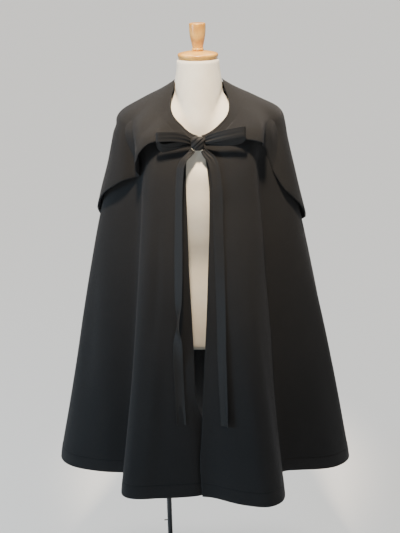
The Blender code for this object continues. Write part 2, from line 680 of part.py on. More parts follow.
def build_hood(name, side):
    reach = EDGE_REACH - HOOD_START
    front = [side * (HOOD_START + reach * k / EDGE_COLUMNS) for k in range(EDGE_COLUMNS)]
    half = BACK_COLUMNS // 2 + 1
    behind = back_stations()[:half] if side > 0 else [a - 360 for a in back_stations()[: half - 2 : -1]]
    angles = front + front_stations(side) + behind[1:]
    angles[-1] -= side * seam_turn(BACK_MIDDLE, HOOD_SEAM_LEVEL)
    if side < 0:
        angles.reverse()
    sections = [hood_section(a) for a in angles]
    outer = [[section[0][i] for section in sections] for i in range(len(sections[0][0]))]
    inner = [[section[1][i] for section in sections] for i in range(len(sections[0][1]))]
    return add_sheet(name, outer, inner, BLACK_CLOTH)


def add_ribbon(name, middles, acrosses, widths):
    """A flat ribbon along a line of middles, each with the direction across it."""
    front, rear = [], []
    for i, (middle, across, width) in enumerate(zip(middles, acrosses, widths)):
        along = middles[min(i + 1, len(middles) - 1)] - middles[max(i - 1, 0)]
        across = (across - across.project(along)).normalized()
        face = along.cross(across).normalized()
        ends = [middle - across * width / 2, middle, middle + across * width / 2]
        front.append([p + face * RIBBON / 2 for p in ends])
        rear.append([p - face * RIBBON / 2 for p in ends])
    return add_sheet(name, front, rear, BLACK_RIBBON)


def build_tail(name, table):
    """A tail hangs down the front from the knot. Turn is how far it is turned from lying flat."""
    drop = table[0].z - table[-1].z
    steps = round(drop / TAIL_STEP)
    middles, acrosses, widths = [], [], []
    for i in range(steps + 1):
        z = table[0].z - drop * (i / steps) ** TAIL_CROWDING
        x, lift, turn, width = smooth_row(table, z)
        degrees, level = front_place(x, z)
        normal = body_normal(degrees, level)
        stand = abs(math.sin(math.radians(turn))) * width / 2
        middles.append(body_point(degrees, level) + normal * (lift + stand))
        level_line = Vector((0, 0, 1)).cross(normal).normalized()
        angle = math.radians(turn)
        acrosses.append(level_line * math.cos(angle) + normal * math.sin(angle))
        widths.append(width)
    return add_ribbon(name, middles, acrosses, widths)


def build_loop(name, table):
    middles, acrosses, widths = [], [], []
    for i in range(LOOP_STEPS + 1):
        position = i * (len(table) - 1) / LOOP_STEPS
        x, y, z, width, lean = (curve_value([p[k] for p in table], position) for k in range(5))
        middles.append(Vector((x, y, z)))
        widths.append(width)
        angle = math.radians(lean)
        acrosses.append(Vector((0, -math.sin(angle), -math.cos(angle))))
    return add_ribbon(name, middles, acrosses, widths)


def squared(value, power):
    return math.copysign(abs(value) ** power, value)


def build_knot():
    """The knot's plain outer shape: a rounded block, fuller in the middle."""
    points, faces = [], []
    for i in range(1, KNOT_ROWS):
        tilt = math.pi * i / KNOT_ROWS
        ring = math.sin(tilt) ** KNOT_HEIGHT_POWER
        for j in range(KNOT_SIDES):
            turn = 2 * math.pi * j / KNOT_SIDES
            x = squared(math.sin(turn), KNOT_PLAN_POWER) * ring * KNOT_SIZE.x / 2
            y = squared(math.cos(turn), KNOT_PLAN_POWER) * ring * KNOT_SIZE.y / 2
            z = squared(math.cos(tilt), KNOT_HEIGHT_POWER) * KNOT_SIZE.z / 2
            points.append(KNOT_CENTRE + Vector((x, y, z)))
    for i in range(KNOT_ROWS - 2):
        for j in range(KNOT_SIDES):
            low, high = i * KNOT_SIDES, (i + 1) * KNOT_SIDES
            k = (j + 1) % KNOT_SIDES
            faces.append((low + j, low + k, high + k, high + j))
    faces.append(tuple(reversed(range(KNOT_SIDES))))
    faces.append(tuple(range((KNOT_ROWS - 2) * KNOT_SIDES, (KNOT_ROWS - 1) * KNOT_SIDES)))
    return add_mesh("tie_knot", points, faces, BLACK_RIBBON)


def turned_mesh(name, profile, sides, base, spec):
    """A turned piece: its profile, listed from the base outward, spun round an upright line."""
    points, faces = [], []
    for radius, height in profile:
        for j in range(sides):
            turn = 2 * math.pi * j / sides
            points.append(base + Vector((radius * math.cos(turn), radius * math.sin(turn), height)))
    last = len(profile) - 1
    for i in range(last):
        for j in range(sides):
            k = (j + 1) % sides
            faces.append((i * sides + j, i * sides + k, (i + 1) * sides + k, (i + 1) * sides + j))
    faces.append(tuple(reversed(range(sides))))
    faces.append(tuple(range(last * sides, (last + 1) * sides)))
    return add_mesh(name, points, faces, spec, smooth_angle=30)


def build_torso():
    """The form's covered trunk and neck. Its shoulders are the cloak's inner face, moved in by the gap."""
    right = [a + 360 for a in reversed(front_stations(-1))]
    whole = back_stations() + right[1:] + [360 - EDGE_REACH / 2, 360, 360 + EDGE_REACH / 2]
    whole += [a + 360 for a in front_stations(1)[:-1]]
    angles = whole[::2]
    rows = [[ring_point(ring[1:], a) for a in angles] for ring in NECK_RINGS]
    eases = [REST_GAP + CHEST_EASE * max(math.cos(math.radians(a)), 0.0) ** 2 for a in angles]
    for level in SHOULDER_LEVELS:
        rows.append([body_offset(a, level, -CLOTH - ease) for a, ease in zip(angles, eases)])
    rows += [[ring_point(ring[1:], a) for a in angles] for ring in TRUNK_RINGS]
    points = [p for row in rows for p in row]
    count = len(angles)
    faces = []
    for i in range(len(rows) - 1):
        for j in range(count):
            k = (j + 1) % count
            faces.append((i * count + j, (i + 1) * count + j, (i + 1) * count + k, i * count + k))
    faces.append(tuple(range(count)))
    faces.append(tuple(reversed(range((len(rows) - 1) * count, len(rows) * count))))
    return add_mesh("form_torso", points, faces, FORM_LINEN, smooth_angle=60)


def build_stand():
    foot = Vector((POLE_X, 0, 0))
    low = BASE_THICKNESS + SEAM_GAP
    high = TORSO_BOTTOM - SEAM_GAP
    plate = (
        TurnedPoint(BASE_RADIUS - BASE_ROUND, 0),
        TurnedPoint(BASE_RADIUS, BASE_ROUND),
        TurnedPoint(BASE_RADIUS, BASE_THICKNESS - BASE_ROUND),
        TurnedPoint(BASE_RADIUS - BASE_ROUND, BASE_THICKNESS),
    )
    turned_mesh("stand_base", plate, BASE_SIDES, Vector((0, 0, 0)), BLACK_STEEL)
    pole = (TurnedPoint(POLE_RADIUS, low), TurnedPoint(POLE_RADIUS, high))
    turned_mesh("stand_pole", pole, POLE_SIDES, foot, BLACK_STEEL)
    pin_start = Vector((POLE_X - POLE_RADIUS - SEAM_GAP, 0, PIN_HEIGHT))
    add_pin("stand_pin", pin_start)
    collar("stand_boss", BOSS_PROFILE, foot + Vector((0, 0, low)), 1)
    collar("stand_socket", SOCKET_PROFILE, foot + Vector((0, 0, high)), -1)


def add_pin(name, start):
    """A short round pin that points to the wearer's right."""
    points, faces = [], []
    for x in (0.0, -PIN_LENGTH):
        for j in range(PIN_SIDES):
            turn = 2 * math.pi * j / PIN_SIDES
            points.append(start + Vector((x, PIN_RADIUS * math.cos(turn), PIN_RADIUS * math.sin(turn))))
    for j in range(PIN_SIDES):
        k = (j + 1) % PIN_SIDES
        faces.append((j, PIN_SIDES + j, PIN_SIDES + k, k))
    faces.append(tuple(range(PIN_SIDES)))
    faces.append(tuple(reversed(range(PIN_SIDES, 2 * PIN_SIDES))))
    return add_mesh(name, points, faces, BLACK_STEEL)


def collar(name, profile, base, grow):
    """A turned ring that the pole passes through with a running gap."""
    bore = POLE_RADIUS + SEAM_GAP
    points, faces = [], []
    loop = [*profile, TurnedPoint(bore, profile[-1].height), TurnedPoint(bore, 0.0)]
    for radius, height in loop:
        for j in range(POLE_SIDES):
            turn = 2 * math.pi * j / POLE_SIDES
            points.append(base + Vector((radius * math.cos(turn), radius * math.sin(turn), height)))
    for i in range(len(loop)):
        for j in range(POLE_SIDES):
            k, n = (j + 1) % POLE_SIDES, (i + 1) % len(loop)
            face = (i * POLE_SIDES + j, i * POLE_SIDES + k, n * POLE_SIDES + k, n * POLE_SIDES + j)
            faces.append(face if grow > 0 else tuple(reversed(face)))
    return add_mesh(name, points, faces, BLACK_STEEL, smooth_angle=30)


def build_cap():
    neck = Vector((0, 0, NECK_TOP + SEAM_GAP))
    turned_mesh("neck_cap", CAP_PROFILE, CAP_SIDES, neck, PALE_WOOD)
    seat = neck + Vector((0, 0, CAP_PROFILE[-1].height + SEAM_GAP))
    turned_mesh("cap_knob", KNOB_PROFILE, KNOB_SIDES, seat, PALE_WOOD)


def main():
    clear_scene()
    build_torso()
    build_cap()
    build_stand()
    build_front("front_right", -1)
    build_front("front_left", 1)
    build_back()
    build_hood("hood_right", -1)
    build_hood("hood_left", 1)
    build_knot()
    build_loop("loop_right", RIGHT_LOOP)
    build_loop("loop_left", LEFT_LOOP)
    build_tail("tail_right", RIGHT_TAIL)
    build_tail("tail_left", LEFT_TAIL)


main()
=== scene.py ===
"""The looks of a black hooded cloak with a ribbon bow, worn by a limbless dress form on a stand.

Units are metres, +Z is up and the front faces -Y. "Right" and "left" are the wearer's, so the right front
lies at -X. An angle runs round the form's upright axis: 0 degrees is the front, 90 the wearer's left and
180 the back. A level counts the rings of the cloak's body from the neckline (0) down to the hem (13).
"""

import math
from collections import namedtuple

import bpy
import numpy as np
from mathutils import Matrix, Vector


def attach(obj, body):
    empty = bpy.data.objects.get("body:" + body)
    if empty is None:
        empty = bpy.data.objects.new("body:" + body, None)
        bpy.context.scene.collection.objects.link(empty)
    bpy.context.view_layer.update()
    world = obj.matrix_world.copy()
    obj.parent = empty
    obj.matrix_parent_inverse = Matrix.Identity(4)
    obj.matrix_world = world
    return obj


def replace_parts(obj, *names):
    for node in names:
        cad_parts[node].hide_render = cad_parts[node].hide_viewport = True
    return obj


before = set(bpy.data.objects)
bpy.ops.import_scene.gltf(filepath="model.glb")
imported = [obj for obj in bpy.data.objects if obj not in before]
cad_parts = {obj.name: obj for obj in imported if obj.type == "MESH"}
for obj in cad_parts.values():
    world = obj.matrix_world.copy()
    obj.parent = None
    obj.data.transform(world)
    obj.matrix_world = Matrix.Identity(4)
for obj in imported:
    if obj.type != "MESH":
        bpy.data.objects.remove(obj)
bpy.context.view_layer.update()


def table_of(fields, *rows):
    """A table of rows with named fields."""
    row = namedtuple("Row", fields)
    return tuple(row(*values) for values in rows)


# Cloth, ribbon and clearances
CLOTH = 0.0015
RIBBON = 0.0010
SEAM_GAP = 0.0003
REST_GAP = 0.0009

# Overall heights
HEM_HEIGHT = 0.406
TORSO_BOTTOM = 0.766
NECK_TOP = 1.490

# Angles in degrees, and how finely the surface is searched
SIDE_SEAM = 90.0
BACK_MIDDLE = 180.0
FRONT_LIMIT = 60.0
HALVINGS = 30
PLACE_PASSES = 6
RUN_STEPS = 480
SLOPE_TURN = 0.5
SLOPE_DROP = 0.04

# The cloak's body, from the neckline out over the shoulders and down to the hem
RING = "name z_front z_side z_back half_width front back square"
BODY_RINGS = table_of(
    RING,
    ("neckline", 1.318, 1.406, 1.424, 0.069, 0.080, 0.066, 2.00),
    ("yoke", 1.303, 1.397, 1.409, 0.100, 0.089, 0.073, 2.00),
    ("middle of shoulder", 1.281, 1.381, 1.387, 0.145, 0.100, 0.084, 2.10),
    ("shoulder edge", 1.258, 1.359, 1.354, 0.184, 0.110, 0.098, 2.25),
    ("shoulder turn", 1.232, 1.334, 1.315, 0.195, 0.119, 0.112, 2.35),
    ("upper arm", 1.190, 1.285, 1.262, 0.2075, 0.129, 0.124, 2.35),
    ("arm", 1.120, 1.175, 1.170, 0.2350, 0.138, 0.138, 2.30),
    ("elbow", 1.045, 1.080, 1.070, 0.2600, 0.146, 0.151, 2.25),
    ("waist", 0.945, 0.950, 0.950, 0.2890, 0.157, 0.166, 2.20),
    ("hip", 0.830, 0.830, 0.830, 0.3140, 0.170, 0.182, 2.15),
    ("thigh", 0.700, 0.700, 0.700, 0.3395, 0.185, 0.199, 2.10),
    ("knee", 0.560, 0.560, 0.560, 0.3690, 0.201, 0.216, 2.10),
    ("above the hem", 0.446, 0.446, 0.446, 0.3945, 0.214, 0.230, 2.10),
    ("hem", HEM_HEIGHT, HEM_HEIGHT, HEM_HEIGHT, 0.4020, 0.218, 0.235, 2.10),
)
# The neckline is fuller at the collarbones and closer at the sides of the neck
NECK_EASES = table_of(
    "angle right left",
    (0, 0, 0),
    (15, 0.002, 0.003),
    (30, 0.006, 0.011),
    (45, 0.014, 0.019),
    (60, 0.010, 0.014),
    (75, 0.001, 0.003),
    (90, -0.006, -0.006),
    (105, -0.008, -0.009),
    (120, -0.007, -0.008),
    (140, -0.004, -0.004),
    (180, 0, 0),
)
NECK_EASE_LEVELS = 1.5
LAST_LEVEL = len(BODY_RINGS) - 1

# Each main fold adds its depth at the hem, and grows from where it starts
FOLDS = table_of(
    "name angle width depth start growth",
    ("right front swell", -28, 12, 0.010, 1.15, 1.0),
    ("right front corner", -44, 10, 0.030, 1.31, 1.0),
    ("right arm valley", -66, 12, -0.107, 1.345, 0.5),
    ("right side ease", -93, 24, 0.0065, 1.26, 0.2),
    ("left front ease", 17, 11, 0.022, 1.15, 1.2),
    ("left front swell", 33, 14, 0.064, 1.20, 1.2),
    ("left front tuck", 51, 7, -0.030, 1.10, 1.0),
    ("left arm valley", 63, 9.0, -0.095, 1.345, 0.5),
    ("left side ease", 92, 22, -0.0030, 1.26, 0.2),
    ("right back hollow", -117, 11, -0.040, 1.12, 0.8),
    ("right back ridge", -146, 13, 0.026, 1.08, 1.0),
    ("middle back hollow", 178, 15, -0.115, 1.10, 1.0),
    ("left back ridge", 143, 12, 0.030, 1.08, 1.0),
    ("left back hollow", 113, 10, -0.046, 1.12, 0.8),
)

# A fold starts softly, over this drop
FOLD_ONSET = 0.09

# Softer creases in the hanging cloth. Each runs from its top to its bottom and drifts round by some degrees
CREASES = table_of(
    "angle drift top bottom width depth",
    (-20, 3, 1.16, 0.52, 5.0, -0.0026),
    (-33, -3, 1.05, 0.20, 4.2, 0.0046),
    (-38, 2, 1.22, 0.74, 3.4, -0.0038),
    (-52, -4, 1.02, 0.16, 3.8, -0.0056),
    (-59, -3, 1.12, 0.55, 3.4, 0.0048),
    (-74, 5, 1.02, 0.10, 4.2, 0.0120),
    (-83, 3, 1.12, 0.40, 3.8, -0.0090),
    (14, -2, 1.12, 0.66, 4.6, -0.0024),
    (26, 4, 1.02, 0.14, 4.4, 0.0044),
    (41, 3, 1.00, 0.20, 3.6, -0.0052),
    (57, -2, 1.06, 0.60, 3.2, 0.0050),
    (72, -4, 1.00, 0.12, 4.0, -0.0110),
    (80, 3, 1.08, 0.26, 3.6, 0.0120),
    (97, 2, 1.04, 0.40, 4.0, -0.0054),
    (106, 4, 0.92, 0.10, 4.8, 0.0070),
    (126, -4, 0.98, 0.16, 4.6, -0.0105),
    (135, 3, 0.80, 0.12, 3.6, -0.0070),
    (153, 3, 0.94, 0.20, 4.2, 0.0084),
    (163, -3, 0.90, 0.44, 3.6, -0.0072),
    (191, 4, 0.92, 0.18, 4.2, 0.0082),
    (204, -3, 0.96, 0.50, 4.0, -0.0084),
    (219, 3, 0.90, 0.10, 4.4, -0.0094),
    (232, -4, 0.98, 0.30, 4.0, 0.0086),
    (251, 3, 0.94, 0.14, 4.4, 0.0096),
    (262, -2, 1.06, 0.46, 3.8, -0.0054),
)

# Where the two front edges hang. Low down, the right edge curls in behind the left one, by the tuck
FRONT_EDGES = table_of(
    "z right left tuck",
    (1.330, -0.0090, 0.0060, 0),
    (1.290, -0.0220, 0.0075, 0),
    (1.270, -0.0310, 0.0125, 0),
    (1.250, -0.0337, 0.0162, 0),
    (1.200, -0.0352, 0.0206, 0),
    (1.100, -0.0338, 0.0188, 0),
    (1.000, -0.0327, 0.0139, 0),
    (0.900, -0.0290, 0.0091, 0),
    (0.800, -0.0261, 0.0032, 0),
    (0.740, -0.0248, -0.0005, 0),
    (0.700, -0.0242, -0.0028, 0.001),
    (0.670, -0.0225, -0.0045, 0.004),
    (0.640, -0.0160, -0.0060, 0.008),
    (0.610, -0.0065, -0.0076, 0.012),
    (0.560, 0.0030, -0.0110, 0.015),
    (0.500, 0.0080, -0.0155, 0.018),
    (0.400, 0.0140, -0.0105, 0.018),
)
# Beyond this angle the tuck has died out and the columns keep their angle
EDGE_REACH = 24.0
TUCK_FADE = 0.30

# The hood lies dropped and spread over the shoulders: an outer layer from the face edge at the neck down
# to a fold, and an under layer back up to the neck seam
HOOD_LINE = "angle fold_z start_level"
HOOD_RIGHT_LINES = table_of(
    HOOD_LINE,
    (0, 1.309, 0),
    (20, 1.309, 0),
    (40, 1.310, 0),
    (50, 1.304, 0),
    (54, 1.284, 0),
    (57, 1.243, 0),
    (62, 1.226, 0),
    (70, 1.212, 0),
    (78, 1.184, 0),
    (84, 1.157, 0),
    (92, 1.122, 0),
    (108, 1.066, 0.15),
    (130, 1.026, 0.70),
    (155, 0.992, 1.50),
    (180, 0.975, 1.90),
)
HOOD_LEFT_LINES = table_of(
    HOOD_LINE,
    (0, 1.309, 0),
    (20, 1.309, 0),
    (40, 1.310, 0),
    (52, 1.307, 0),
    (60, 1.298, 0),
    (65, 1.276, 0),
    (68, 1.225, 0),
    (71, 1.185, 0),
    (78, 1.140, 0),
    (84, 1.110, 0),
    (92, 1.085, 0),
    (108, 1.050, 0.15),
    (130, 1.020, 0.70),
    (155, 0.992, 1.50),
    (180, 0.975, 1.90),
)
# How far the outer layer stands off the cloak, from the face edge to the fold
HOOD_PUFFS = table_of(
    "angle rim upper middle lower fold",
    (0, 0.0075, 0.0080, 0.0085, 0.0090, 0.0090),
    (30, 0.0075, 0.0085, 0.0100, 0.0120, 0.0130),
    (50, 0.0075, 0.0095, 0.0110, 0.0140, 0.0160),
    (70, 0.0075, 0.0100, 0.0110, 0.0110, 0.0110),
    (90, 0.0080, 0.0110, 0.0120, 0.0105, 0.0110),
    (105, 0.0090, 0.0125, 0.0130, 0.0120, 0.0110),
    (120, 0.0110, 0.0150, 0.0160, 0.0140, 0.0095),
    (135, 0.0180, 0.0260, 0.0260, 0.0200, 0.0105),
    (150, 0.0420, 0.0450, 0.0400, 0.0280, 0.0110),
    (165, 0.0630, 0.0610, 0.0500, 0.0340, 0.0115),
    (180, 0.0720, 0.0680, 0.0540, 0.0360, 0.0120),
)
# Beside the neck the face edge climbs and leans in against the neck
HOOD_RIMS = table_of(
    "angle rise inward",
    (0, 0, 0),
    (40, 0, 0),
    (60, 0.006, 0.004),
    (75, 0.019, 0.010),
    (90, 0.028, 0.0072),
    (105, 0.024, 0.005),
    (120, 0.012, 0.001),
    (140, 0, 0),
    (180, 0, 0),
)
HOOD_RIM_SHARE = 0.36
HOOD_START = 4.0
HOOD_SPACING_LEVEL = 5
HOOD_LIFT = 0.0028
HOOD_LAYER_GAP = 0.0012
# The hood spans the valleys of the cloak below it, and goes into them by this share of their depth
HOOD_FOLLOW = 0.45
# How far into the space that it spans the under layer may go
HOOD_UNDER_REACH = 0.8
# Creases in the hood. Each runs from one angle at the face edge to another at the fold. Its top and bottom
# are shares of the way between the two
HOOD_CREASES = table_of(
    "angle fold_angle top bottom width depth",
    (-75, -61, 0.42, 1.62, 4.8, -0.0205),
    (-60, -49, 0.20, 1.70, 7.0, 0.0112),
    (-68, -55, 0.20, 1.70, 4.4, 0.0085),
    (-78, -64, 0.16, 1.50, 4.2, -0.0120),
    (-90, -77, 0.42, 1.60, 7.5, 0.0060),
    (-92, -92, 0.54, 0.72, 9.0, -0.0040),
    (-50, -44, 0.10, 1.20, 6.0, 0.0016),
    (-104, -98, 0.20, 1.10, 5.0, -0.0062),
    (-122, -120, 0.30, 1.60, 6.5, 0.0078),
    (-138, -150, 0.10, 1.30, 5.6, -0.0100),
    (-146, -160, 0.35, 1.45, 4.6, 0.0058),
    (-160, -172, 0.20, 1.40, 5.6, 0.0075),
    (-168, -166, 0.30, 1.20, 4.4, -0.0052),
    (78, 63, 0.42, 1.62, 4.6, -0.0205),
    (62, 52, 0.20, 1.70, 7.0, 0.0100),
    (70, 57, 0.20, 1.70, 4.2, 0.0085),
    (80, 66, 0.16, 1.50, 5.2, -0.0130),
    (91, 79, 0.45, 1.60, 7.0, 0.0050),
    (89, 89, 0.25, 0.80, 14.0, 0.0045),
    (48, 42, 0.15, 1.10, 6.0, 0.0014),
    (102, 100, 0.30, 1.20, 5.0, -0.0066),
    (119, 124, 0.20, 1.50, 5.6, 0.0074),
    (129, 137, 0.40, 1.35, 4.4, -0.0048),
    (140, 152, 0.15, 1.30, 5.6, -0.0096),
    (150, 159, 0.25, 1.50, 4.8, 0.0060),
    (163, 171, 0.25, 1.40, 5.4, 0.0070),
)

# The ribbon: two ties that leave the neck seam, knot at the front and hang
KNOT_CENTRE = Vector((-0.0040, -0.1085, 1.3065))
KNOT_SIZE = Vector((0.0340, 0.0180, 0.0350))
TAIL_POINT = "z x lift turn width"
RIGHT_TAIL = table_of(
    TAIL_POINT,
    (1.2855, -0.0170, 0.0125, 12, 0.0130),
    (1.2780, -0.0265, 0.0095, 25, 0.0180),
    (1.2670, -0.0395, 0.0060, 40, 0.0225),
    (1.2500, -0.0480, 0.0050, 46, 0.0240),
    (1.2000, -0.0512, 0.0050, 42, 0.0240),
    (1.1000, -0.0546, 0.0045, 36, 0.0240),
    (1.0000, -0.0585, 0.0045, 35, 0.0240),
    (0.9300, -0.0612, 0.0050, 50, 0.0240),
    (0.8680, -0.0642, 0.0040, 84, 0.0240),
    (0.8200, -0.0652, 0.0035, 30, 0.0240),
    (0.7600, -0.0648, 0.0020, 4, 0.0240),
    (0.6050, -0.0606, 0.0012, 0, 0.0240),
)
LEFT_TAIL = table_of(
    TAIL_POINT,
    (1.2857, 0.0085, 0.0125, -8, 0.0130),
    (1.2775, 0.0160, 0.0095, -12, 0.0180),
    (1.2670, 0.0275, 0.0060, -10, 0.0225),
    (1.2500, 0.0340, 0.0045, -6, 0.0240),
    (1.2000, 0.0400, 0.0035, 0, 0.0240),
    (1.1000, 0.0410, 0.0018, 0, 0.0240),
    (1.0000, 0.0430, 0.0013, 0, 0.0240),
    (0.9000, 0.0447, 0.0016, 4, 0.0240),
    (0.8000, 0.0459, 0.0035, 8, 0.0240),
    (0.7000, 0.0480, 0.0035, 14, 0.0240),
    (0.6100, 0.0508, 0.0040, 22, 0.0240),
)
# A loop runs out along its front layer, turns, and comes back along its rear layer
LOOP_POINT = "x y z width lean"
RIGHT_LOOP = table_of(
    LOOP_POINT,
    (-0.0222, -0.1120, 1.3150, 0.0170, 0),
    (-0.0340, -0.1185, 1.3225, 0.0215, 3),
    (-0.0600, -0.1275, 1.3290, 0.0235, 4),
    (-0.0890, -0.1320, 1.3300, 0.0240, 2),
    (-0.0990, -0.1315, 1.3290, 0.0240, 0),
    (-0.1020, -0.1275, 1.3240, 0.0240, -6),
    (-0.0985, -0.1240, 1.3110, 0.0235, -12),
    (-0.0870, -0.1220, 1.3005, 0.0215, -14),
    (-0.0620, -0.1175, 1.3030, 0.0190, -12),
    (-0.0370, -0.1115, 1.3062, 0.0155, -8),
    (-0.0222, -0.1060, 1.3060, 0.0130, 0),
)
LEFT_LOOP = table_of(
    LOOP_POINT,
    (0.0135, -0.1120, 1.3150, 0.0170, 0),
    (0.0290, -0.1185, 1.3210, 0.0215, 4),
    (0.0580, -0.1275, 1.3300, 0.0235, 6),
    (0.0940, -0.1320, 1.3375, 0.0240, 3),
    (0.1045, -0.1315, 1.3385, 0.0240, 0),
    (0.1075, -0.1275, 1.3345, 0.0240, -8),
    (0.1040, -0.1240, 1.3245, 0.0235, -12),
    (0.0910, -0.1225, 1.3165, 0.0225, -14),
    (0.0600, -0.1180, 1.3105, 0.0180, -12),
    (0.0320, -0.1120, 1.3090, 0.0145, -6),
    (0.0135, -0.1060, 1.3075, 0.0130, 0),
)

# The dress form: a neck above the neckline, the cloak's own shoulders under it, and a trunk below
NECK_RINGS = table_of(
    RING,
    ("neck top rim", NECK_TOP, NECK_TOP, NECK_TOP, 0.0475, 0.0475, 0.0475, 2.0),
    ("neck top", 1.487, 1.487, 1.487, 0.0505, 0.0500, 0.0505, 2.0),
    ("upper neck", 1.466, 1.467, 1.470, 0.0525, 0.0525, 0.0520, 2.0),
    ("neck", 1.432, 1.442, 1.454, 0.0560, 0.0565, 0.0545, 2.0),
    ("neck root", 1.385, 1.427, 1.442, 0.0575, 0.0630, 0.0570, 2.0),
    ("throat", 1.345, 1.415, 1.432, 0.0585, 0.0715, 0.0600, 2.0),
)
SHOULDER_LEVELS = (0, 0.5, 1, 1.5, 2, 2.5, 3)
CHEST_EASE = 0.006
TRUNK_RINGS = table_of(
    RING,
    ("armhole top", 1.232, 1.330, 1.315, 0.1860, 0.1130, 0.1040, 2.00),
    ("arm plate", 1.195, 1.270, 1.258, 0.1670, 0.1170, 0.1080, 2.00),
    ("bust", 1.140, 1.180, 1.180, 0.1480, 0.1190, 0.1040, 2.05),
    ("under bust", 1.075, 1.085, 1.090, 0.1320, 0.1080, 0.0880, 2.05),
    ("waist", 1.000, 1.000, 1.000, 0.1200, 0.0930, 0.0760, 2.05),
    ("upper hip", 0.920, 0.920, 0.920, 0.1440, 0.1000, 0.0930, 2.10),
    ("hip", 0.845, 0.845, 0.845, 0.1650, 0.1070, 0.1080, 2.15),
    ("bottom edge", 0.790, 0.790, 0.790, 0.1670, 0.1080, 0.1090, 2.15),
    ("bottom round", 0.771, 0.771, 0.771, 0.1610, 0.1030, 0.1040, 2.15),
    ("underside rim", TORSO_BOTTOM, TORSO_BOTTOM, TORSO_BOTTOM, 0.1500, 0.0930, 0.0940, 2.15),
)

# The turned wooden cap and knob, as radius and height above the neck
TURNED_POINT = "radius height"
CAP_PROFILE = table_of(
    TURNED_POINT,
    (0.0440, 0),
    (0.0465, 0.0010),
    (0.0480, 0.0045),
    (0.0488, 0.0085),
    (0.0478, 0.0115),
    (0.0440, 0.0135),
    (0.0300, 0.0165),
    (0.0190, 0.0180),
    (0.0140, 0.0186),
)
KNOB_PROFILE = table_of(
    TURNED_POINT,
    (0.0125, 0),
    (0.0138, 0.0020),
    (0.0140, 0.0045),
    (0.0128, 0.0060),
    (0.0130, 0.0090),
    (0.0155, 0.0200),
    (0.0182, 0.0330),
    (0.0196, 0.0460),
    (0.0198, 0.0580),
    (0.0192, 0.0625),
    (0.0175, 0.0640),
)

# How finely the visible surfaces are drawn
BODY_ROWS = 150
EDGE_COLUMNS = 26
FRONT_COLUMNS = 84
BACK_COLUMNS = 220
HOOD_ROWS = 44
HOOD_UNDER_ROWS = 22
HOOD_FOLD_STEPS = 7
HOOD_FRONT_COLUMNS = 60
HOOD_BACK_COLUMNS = 80
RIBBON_COLUMNS = 24
TAIL_ROWS = 150
LOOP_ROWS = 160
KNOT_ROWS = 90
KNOT_SIDES = 140
TORSO_ROWS = 150
TORSO_SIDES = 144
TURNED_SIDES = 96
TURNED_STEPS = 6
# Edges that turn by more degrees than this are drawn sharp
TORSO_SHARP = 50
TURNED_SHARP = 35

# Sewing: how stitch lines and seams pull the cloth in, and how the turned hem swells
HEM_TURN = 0.038
HEM_SWELL = 0.0005
HEM_SWELL_RUN = 0.004
RIM_STITCH = 0.007
LINE_WIDTH = 0.0016
LINE_DEPTH = 0.0006
UNDERSIDE_PULL = 0.3
SEAM_WIDTH = 0.0022
SEAM_DEPTH = 0.0011
# Rows of the mesh at the stitch line, in its widths to each side, and how far the even rows keep off it
LINE_ROWS = 9
LINE_REACH = 3
LINE_CLEAR = 0.0055
HEM_EDGE_ROWS = (0.0006, 0.0014)
# How far a wall's rim stands out, as a share of its thickness
RIM_ROUND = 0.35
STITCH_LENGTH = 0.0032
STITCH_WIDTH = 0.0007
STITCH_SPACE = 0.28
STITCH_HEIGHT = -1.6

# Pleats, each with its pitch, its phase and its share of the height. The ribbon's pitch is in ribbon widths
Pleat = namedtuple("Pleat", "pitch phase share")
RIBBON_PLEATS = (Pleat(1 / 2.6, 0.6, 0.6), Pleat(1 / 1.4, 2.0, 0.4))
KNOT_PLEATS = (Pleat(0.0036, 0.0, 0.6), Pleat(0.0051, 1.3, 0.4))
SELVEDGE_THINNING = 0.45
SELVEDGE_SHARE = 0.05
SELVEDGE_LINE = 0.0020
TAIL_SPREAD = 1.2
TAIL_RIPPLE = 0.0015
TAIL_RIPPLE_START = 1 / 6
TAIL_WAVES = (23, 9)
TAIL_GATHER = 0.0016
TAIL_GATHER_REACH = 0.05
TAIL_CURL = -0.0013
TAIL_CURL_WAVE = 8.0
TAIL_CURL_PHASE = 20
TAIL_END_CURL = -0.0040
TAIL_END_POWER = 14
LOOP_GATHER = 0.0013
LOOP_GATHER_REST = 0.0002
LOOP_GATHER_REACH = 0.16
# The knot's overlapping bands: where their edges lie across the slant, and how high and soft each edge is
KNOT_BANDS = (-0.0150, -0.0045, 0.0050, 0.0165)
KNOT_SLANT = 0.85
KNOT_BOW = 0.006
KNOT_STEP = 0.0030
KNOT_EDGE = 0.0008
KNOT_PLEAT = 0.00030
KNOT_SINK = 0.0006
KNOT_POLE = 0.02
KNOT_BOX_ROUND = 0.8
KNOT_BOX_DOWN = 0.7
KNOT_RADIUS = 0.012

# Finishes: colours, the pitch and height of weaves, and noise scales
TWILL_DARK, TWILL_LIGHT = (0.0070, 0.0070, 0.0076), (0.0114, 0.0111, 0.0114)
RIBBON_DARK, RIBBON_LIGHT = (0.0054, 0.0053, 0.0056), (0.0090, 0.0086, 0.0087)
COVER_AGED, COVER_CLEAN = (0.86, 0.79, 0.65), (0.92, 0.88, 0.77)
WOOD_DARK, WOOD_LIGHT, WOOD_PORE = (0.60, 0.28, 0.045), (0.78, 0.43, 0.085), (0.36, 0.17, 0.05)
PAINT_DARK, PAINT_LIGHT = (0.020, 0.021, 0.024), (0.034, 0.035, 0.038)
TWILL_PITCH = 0.0011
FIBRE_HEIGHT = 0.5
RIB_PITCH = 0.0024
RIB_WOBBLE = 0.0015
THREAD_HEIGHT = 0.8
FLECK_SHARE = 0.9
ROUGHNESS_RANGE = 0.05
FIBRE_SCALE, FLECK_SCALE, WEAR_SCALE = 900.0, 260.0, 9.0
